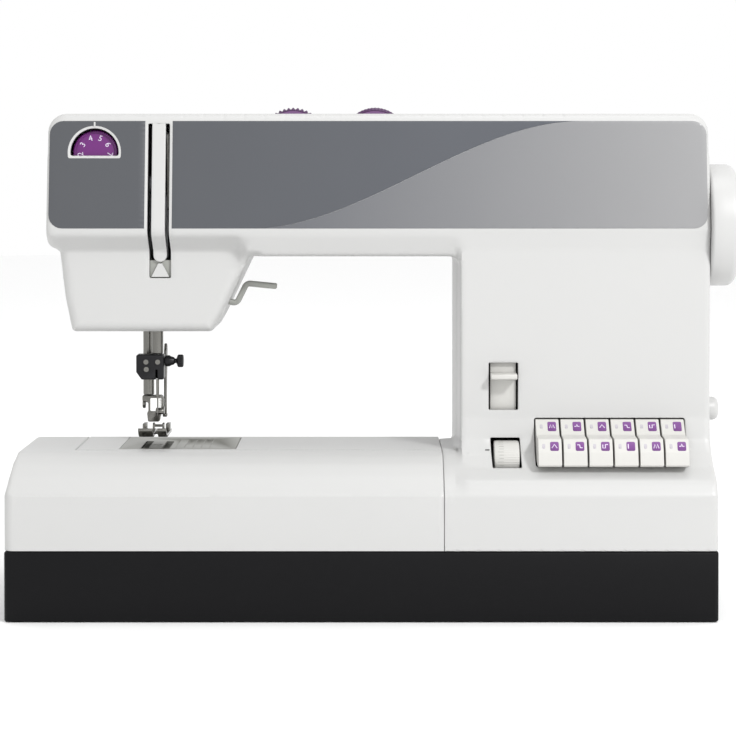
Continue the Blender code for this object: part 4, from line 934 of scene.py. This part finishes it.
def foot_area():
    low, high = span("presser_bar")
    radius, length = (high.x - low.x) / 2, high.z - low.z
    bar = [(0.0, 0.0), (radius - 0.4, 0.0), (radius, 0.4), (radius, length - 0.5), (radius - 0.5, length),
           (0, length)]
    piece(turned("presser_rod", bar, (BAR_SPOT.x, BAR_SPOT.y, low.z), "Z", 48), "presser", "polished_steel",
          STEEL, "presser_bar")
    low, high = span("presser_foot_holder")
    left, right = low.x + 0.4, high.x - 0.4
    ankle = rounded([(left + 3.4, low.z + 0.2), (right - 2.6, low.z + 0.2), (right - 1.8, low.z + 4.6),
                     (right - 0.3, low.z + 6.4), (right, high.z - 2.4), (right - 1.4, high.z), (left, high.z),
                     (left, high.z - 3.4), (left + 3.6, high.z - 4.4), (left + 3.6, low.z + 7.0),
                     (left + 2.8, low.z + 5.2)],
                    [1, 1.2, 1.2, 1, 1, 0.8, 0.8, 1, 0.8, 1, 0.8], 4)
    holder = prism("ankle", ankle, "front", BAR_SPOT.y - 4.0, BAR_SPOT.y + 3.4, 0.6, 3)
    # A bright plate on the ankle's front: painted reflection of the studio light on the polished steel.
    glint = round_box(left + 4.9, low.z + 6.6, right - 1.3, high.z - 1.4, 0.8, 3)
    piece(prism("ankle_painted_reflection", glint, "front", BAR_SPOT.y - 4.6, BAR_SPOT.y - 3.8, 0.25, 2), "presser",
          "polished_steel", PAINTED_REFLECTION_STEEL)
    arm = prism("ankle_arm", rounded([(-19.6, 112.4), (-14.0, 112.4), (-14.0, 117.0), (-17.2, 117.0),
                                      (-20.4, 115.4), (-20.8, 113.4)], [0.8, 0, 0, 1.2, 1, 0.6], 3), "right",
                NEEDLE_SPOT.x - 2.0, NEEDLE_SPOT.x + 3.0, 0.5)
    screw = turned("ankle_screw", [(0.0, 0.0), (2.6, 0.0), (2.9, 0.3), (2.9, 1.4), (2.4, 1.8), (0.0, 1.8)],
                   (left - 0.3, BAR_SPOT.y, high.z - 5.2), "X", 40)
    screw.data.transform(Matrix.Translation((0.3 * MM, 0, 0)))
    piece(joined("foot_ankle", holder, arm, screw), "presser", "polished_steel", STEEL, "presser_foot_holder")
    low, high = span("presser_foot")
    base = low.z
    side = [(high.y, base), (-36.0, base), (-39.5, base + 0.3), (-43.0, base + 1.5), (low.y, base + 4.4),
            (low.y, base + 6.2), (-42.4, base + 3.9), (-39.2, base + 2.3), (-36.0, base + 1.9),
            (high.y, base + 1.9)]
    inner, outer = NEEDLE_SPOT.x - 1.5, NEEDLE_SPOT.x + 1.5
    toes = [prism("toe", side[::-1], "right", left, right, 0.25)
            for left, right in ((low.x, inner), (outer, high.x))]
    heel = box("heel", (inner - 1.0, -24.0, base + 0.1), (outer + 1.0, high.y, base + 1.8), 0.2)
    rims = [box("rim", (left, -21.5, base + 1.6), (left + 2.4, -12.0, base + 6.2), 0.5)
            for left in (low.x + 0.2, high.x - 2.6)]
    cheeks = [prism("cheek", rounded([(-17.2, 102.4), (-10.8, 102.4), (-11.6, 106.8), (-16.0, 106.8)],
                                     [0, 0, 1.6, 1.6], 4), "right", left, left + 1.2, 0.2)
              for left in (-136.0, -130.2)]
    pin = turned("pin", [(0.0, 0.0), (0.8, 0.0), (0.8, 6.6), (0.0, 6.6)], (-135.8, -13.8, 105.0), "X", 24)
    piece(joined("foot_sole", heel, pin, *toes, *rims, *cheeks), "presser", "polished_steel", STEEL,
          "presser_foot")
    low, high = span("dual_feed_arm")
    side = rounded([(4.0, 152.0), (-2.0, 154.5), (-5.2, 150.0), (-5.6, 132.0), (-7.0, 118.0), (-6.0, 111.0),
                    (-2.6, 109.4), (-1.2, 112.6), (-2.2, 120.0), (-0.6, 132.0), (2.6, 142.0)],
                   [2, 2, 2, 6, 4, 1, 1, 2, 5, 5, 4], 4)
    feeder = prism("dual_feeder", side, "right", low.x + 0.9, high.x - 0.5, 0.3)
    tooth = box("feeder_foot", (low.x + 0.2, -7.0, 109.5), (high.x - 0.2, -2.0, 111.4), 0.4)
    piece(joined("dual_feed_finger", feeder, tooth), "dual_feed", "blackened_steel", STEEL, "dual_feed_arm")
    low, high = span("presser_lifter")
    y = (low.y + high.y) / 2
    route = [(-113.0, 184.0), (-92.0, 181.4), (-84.7, 179.6), (-78.7, 191.7), (-60.5, 189.9)]
    lever = prism("lifter_lever", ribbon(soft_line(route, 3.0, 6), 1.7)[::-1], "front", y - 3.3, y + 3.3, 0.9,
                  3)
    hub = turned("lifter_hub", [(0.0, 0.0), (4.2, 0.0), (4.5, 0.4), (4.5, 7.4), (4.2, 7.8), (0.0, 7.8)],
                 (-113.0, low.y + 0.1, 184.0), "Y", 48)
    piece(joined("lifter", lever, hub), "presser_lifter", "grey_plastic", GREY, "presser_lifter")


def ribbon(route, half):
    """A strip along a route, as wide as twice its half width."""
    way = np.gradient(route, axis=0)
    way /= np.linalg.norm(way, axis=1)[:, None]
    side = np.stack([-way[:, 1], way[:, 0]], 1) * half
    return [tuple(p) for p in np.concatenate([route + side, (route - side)[::-1]])]


def bed():
    low, high = span("needle_plate")
    top = prism("stitch_plate", round_box(low.x, low.y, high.x, high.y, 1.0, 3), "top", low.z, high.z, 0.25)
    apply(top)
    gates = []
    for across in (-6.2, 6.2):
        middle = NEEDLE_SPOT.x + across
        gates.append(box("gate", (middle - 2.3, -46.0, low.z - 2), (middle + 2.3, -10.0, high.z + 2)))
    gates.append(box("gate", (NEEDLE_SPOT.x - 3.0, NEEDLE_SPOT.y - 1.1, low.z - 2),
                     (NEEDLE_SPOT.x + 3.0, NEEDLE_SPOT.y + 1.1, high.z + 2)))
    for number in range(5):
        line = NEEDLE_SPOT.x + 12.0 + number * 5.0
        gates.append(box("gate", (line - 0.15, -44.0, high.z - 0.25), (line + 0.15, -2.0, high.z + 2)))
    piece(shade(cut(top, joined("gates", *gates))), "housing", "plate_steel", PLATE, "needle_plate")
    rows = []
    for across in (-6.2, 6.2):
        middle = NEEDLE_SPOT.x + across
        saw = [(-42.0, 89.2)]
        for tooth in range(14):
            saw += [(-42.0 + tooth * 2.0, 93.6), (-42.0 + tooth * 2.0 + 1.4, 94.6)]
        saw += [(-14.0, 93.6), (-14.0, 89.2)]
        rows.append(prism("teeth", saw, "right", middle - 1.6, middle + 1.6))
    low, high = span("feed_dog")
    body = box("dog_body", (low.x, low.y, low.z + 0.4), (high.x, high.y, low.z + 2.4), 0.3)
    hole = box("hole", (NEEDLE_SPOT.x - 3.4, NEEDLE_SPOT.y - 4, 80),
               (NEEDLE_SPOT.x + 3.4, NEEDLE_SPOT.y + 4, 99))
    piece(joined("feed_teeth", cut(body, hole), *rows), "feed_dog", "plate_steel", PLATE, "feed_dog")


FINISH = {
    WHITE: ["free_arm", "hook_cover"],
    BLACK: ["mains_socket", "upper_pulley", "lower_pulley"],
    BELT: ["timing_belt", "motor_belt"],
    STEEL: ["take_up_lever", "main_shaft", "lower_shaft", "rotary_hook", "bobbin_case", "motor_rotor"],
    DARK_STEEL: ["motor_case"],
    CAST: ["frame_casting", "needle_crank", "connecting_link", "presser_collar", "needle_bar_guide",
           "feed_bar"],
    BRASS: ["main_shaft_bush_left", "main_shaft_bush_right", "hook_gear"],
    GREY: ["bobbin"],
    GLASS: ["lamp"],
}


def finish_frame():
    """Give the CAD nodes that stay their detailed materials, and the inlet its pins."""
    for made, names in FINISH.items():
        for name in names:
            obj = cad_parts[name]
            if not obj.material_slots:
                obj.data.materials.append(made)
            for slot in obj.material_slots:
                slot.material = made
    low, high = span("mains_socket")
    middle = (low + high) / 2
    pins = [box("pin", (low.x + 5.2, middle.y + across - 1.2, middle.z - 2.6),
                (high.x - 3.5, middle.y + across + 1.2, middle.z + 2.6), 0.4) for across in (-5.5, 5.5)]
    piece(joined("inlet_pins", *pins), "housing", "brass", BRASS)


needle_area()
foot_area()
bed()
finish_frame()


# ---------------------------------------------------------------- camera, lights and floor
CAMERA_PLACE = (-5.5, -1336.0, 254.0)
CAMERA_PITCH = math.radians(1.2)
LENS = 106.75
SHIFT_Y = -0.1933
FLOOR_SIZE = 6.0
LIGHTS = (("key", (1.2, -1.85, 1.6), 0.3, 38.0), ("fill", (0.2, -0.1, 2.0), 0.8, 6.0),
          ("back", (0.9, 1.4, 1.6), 1.2, 0.8))
LIGHT_TARGET = Vector((0, 0, 0.15))


def studio():
    camera = new_object("camera", bpy.data.cameras.new("camera"))
    camera.location = Vector(CAMERA_PLACE) * MM
    camera.rotation_euler = (math.pi / 2 - CAMERA_PITCH, 0, 0)
    camera.data.lens = LENS
    camera.data.sensor_width = 36.0
    camera.data.shift_y = SHIFT_Y
    bpy.context.scene.camera = camera
    shape = bmesh.new()
    bmesh.ops.create_grid(shape, x_segments=1, y_segments=1, size=FLOOR_SIZE)
    floor = from_shape("floor", shape)
    floor.data.materials.append(material("pale_floor", (250, 250, 250), 0.6, grain=0.0, mottle=0.0))
    world = bpy.data.worlds.new("studio")
    bpy.context.scene.world = world
    world.use_nodes = True
    world.node_tree.nodes["Background"].inputs["Color"].default_value = (1.0, 1.0, 1.0, 1)
    world.node_tree.nodes["Background"].inputs["Strength"].default_value = 1.0
    for name, place, size, power in LIGHTS:
        light = new_object(name, bpy.data.lights.new(name, "AREA"))
        light.data.energy = power
        light.data.size = size
        light.location = place
        light.rotation_euler = (LIGHT_TARGET - light.location).to_track_quat("-Z", "Y").to_euler()
    bpy.context.scene.view_settings.view_transform = "Standard"


studio()
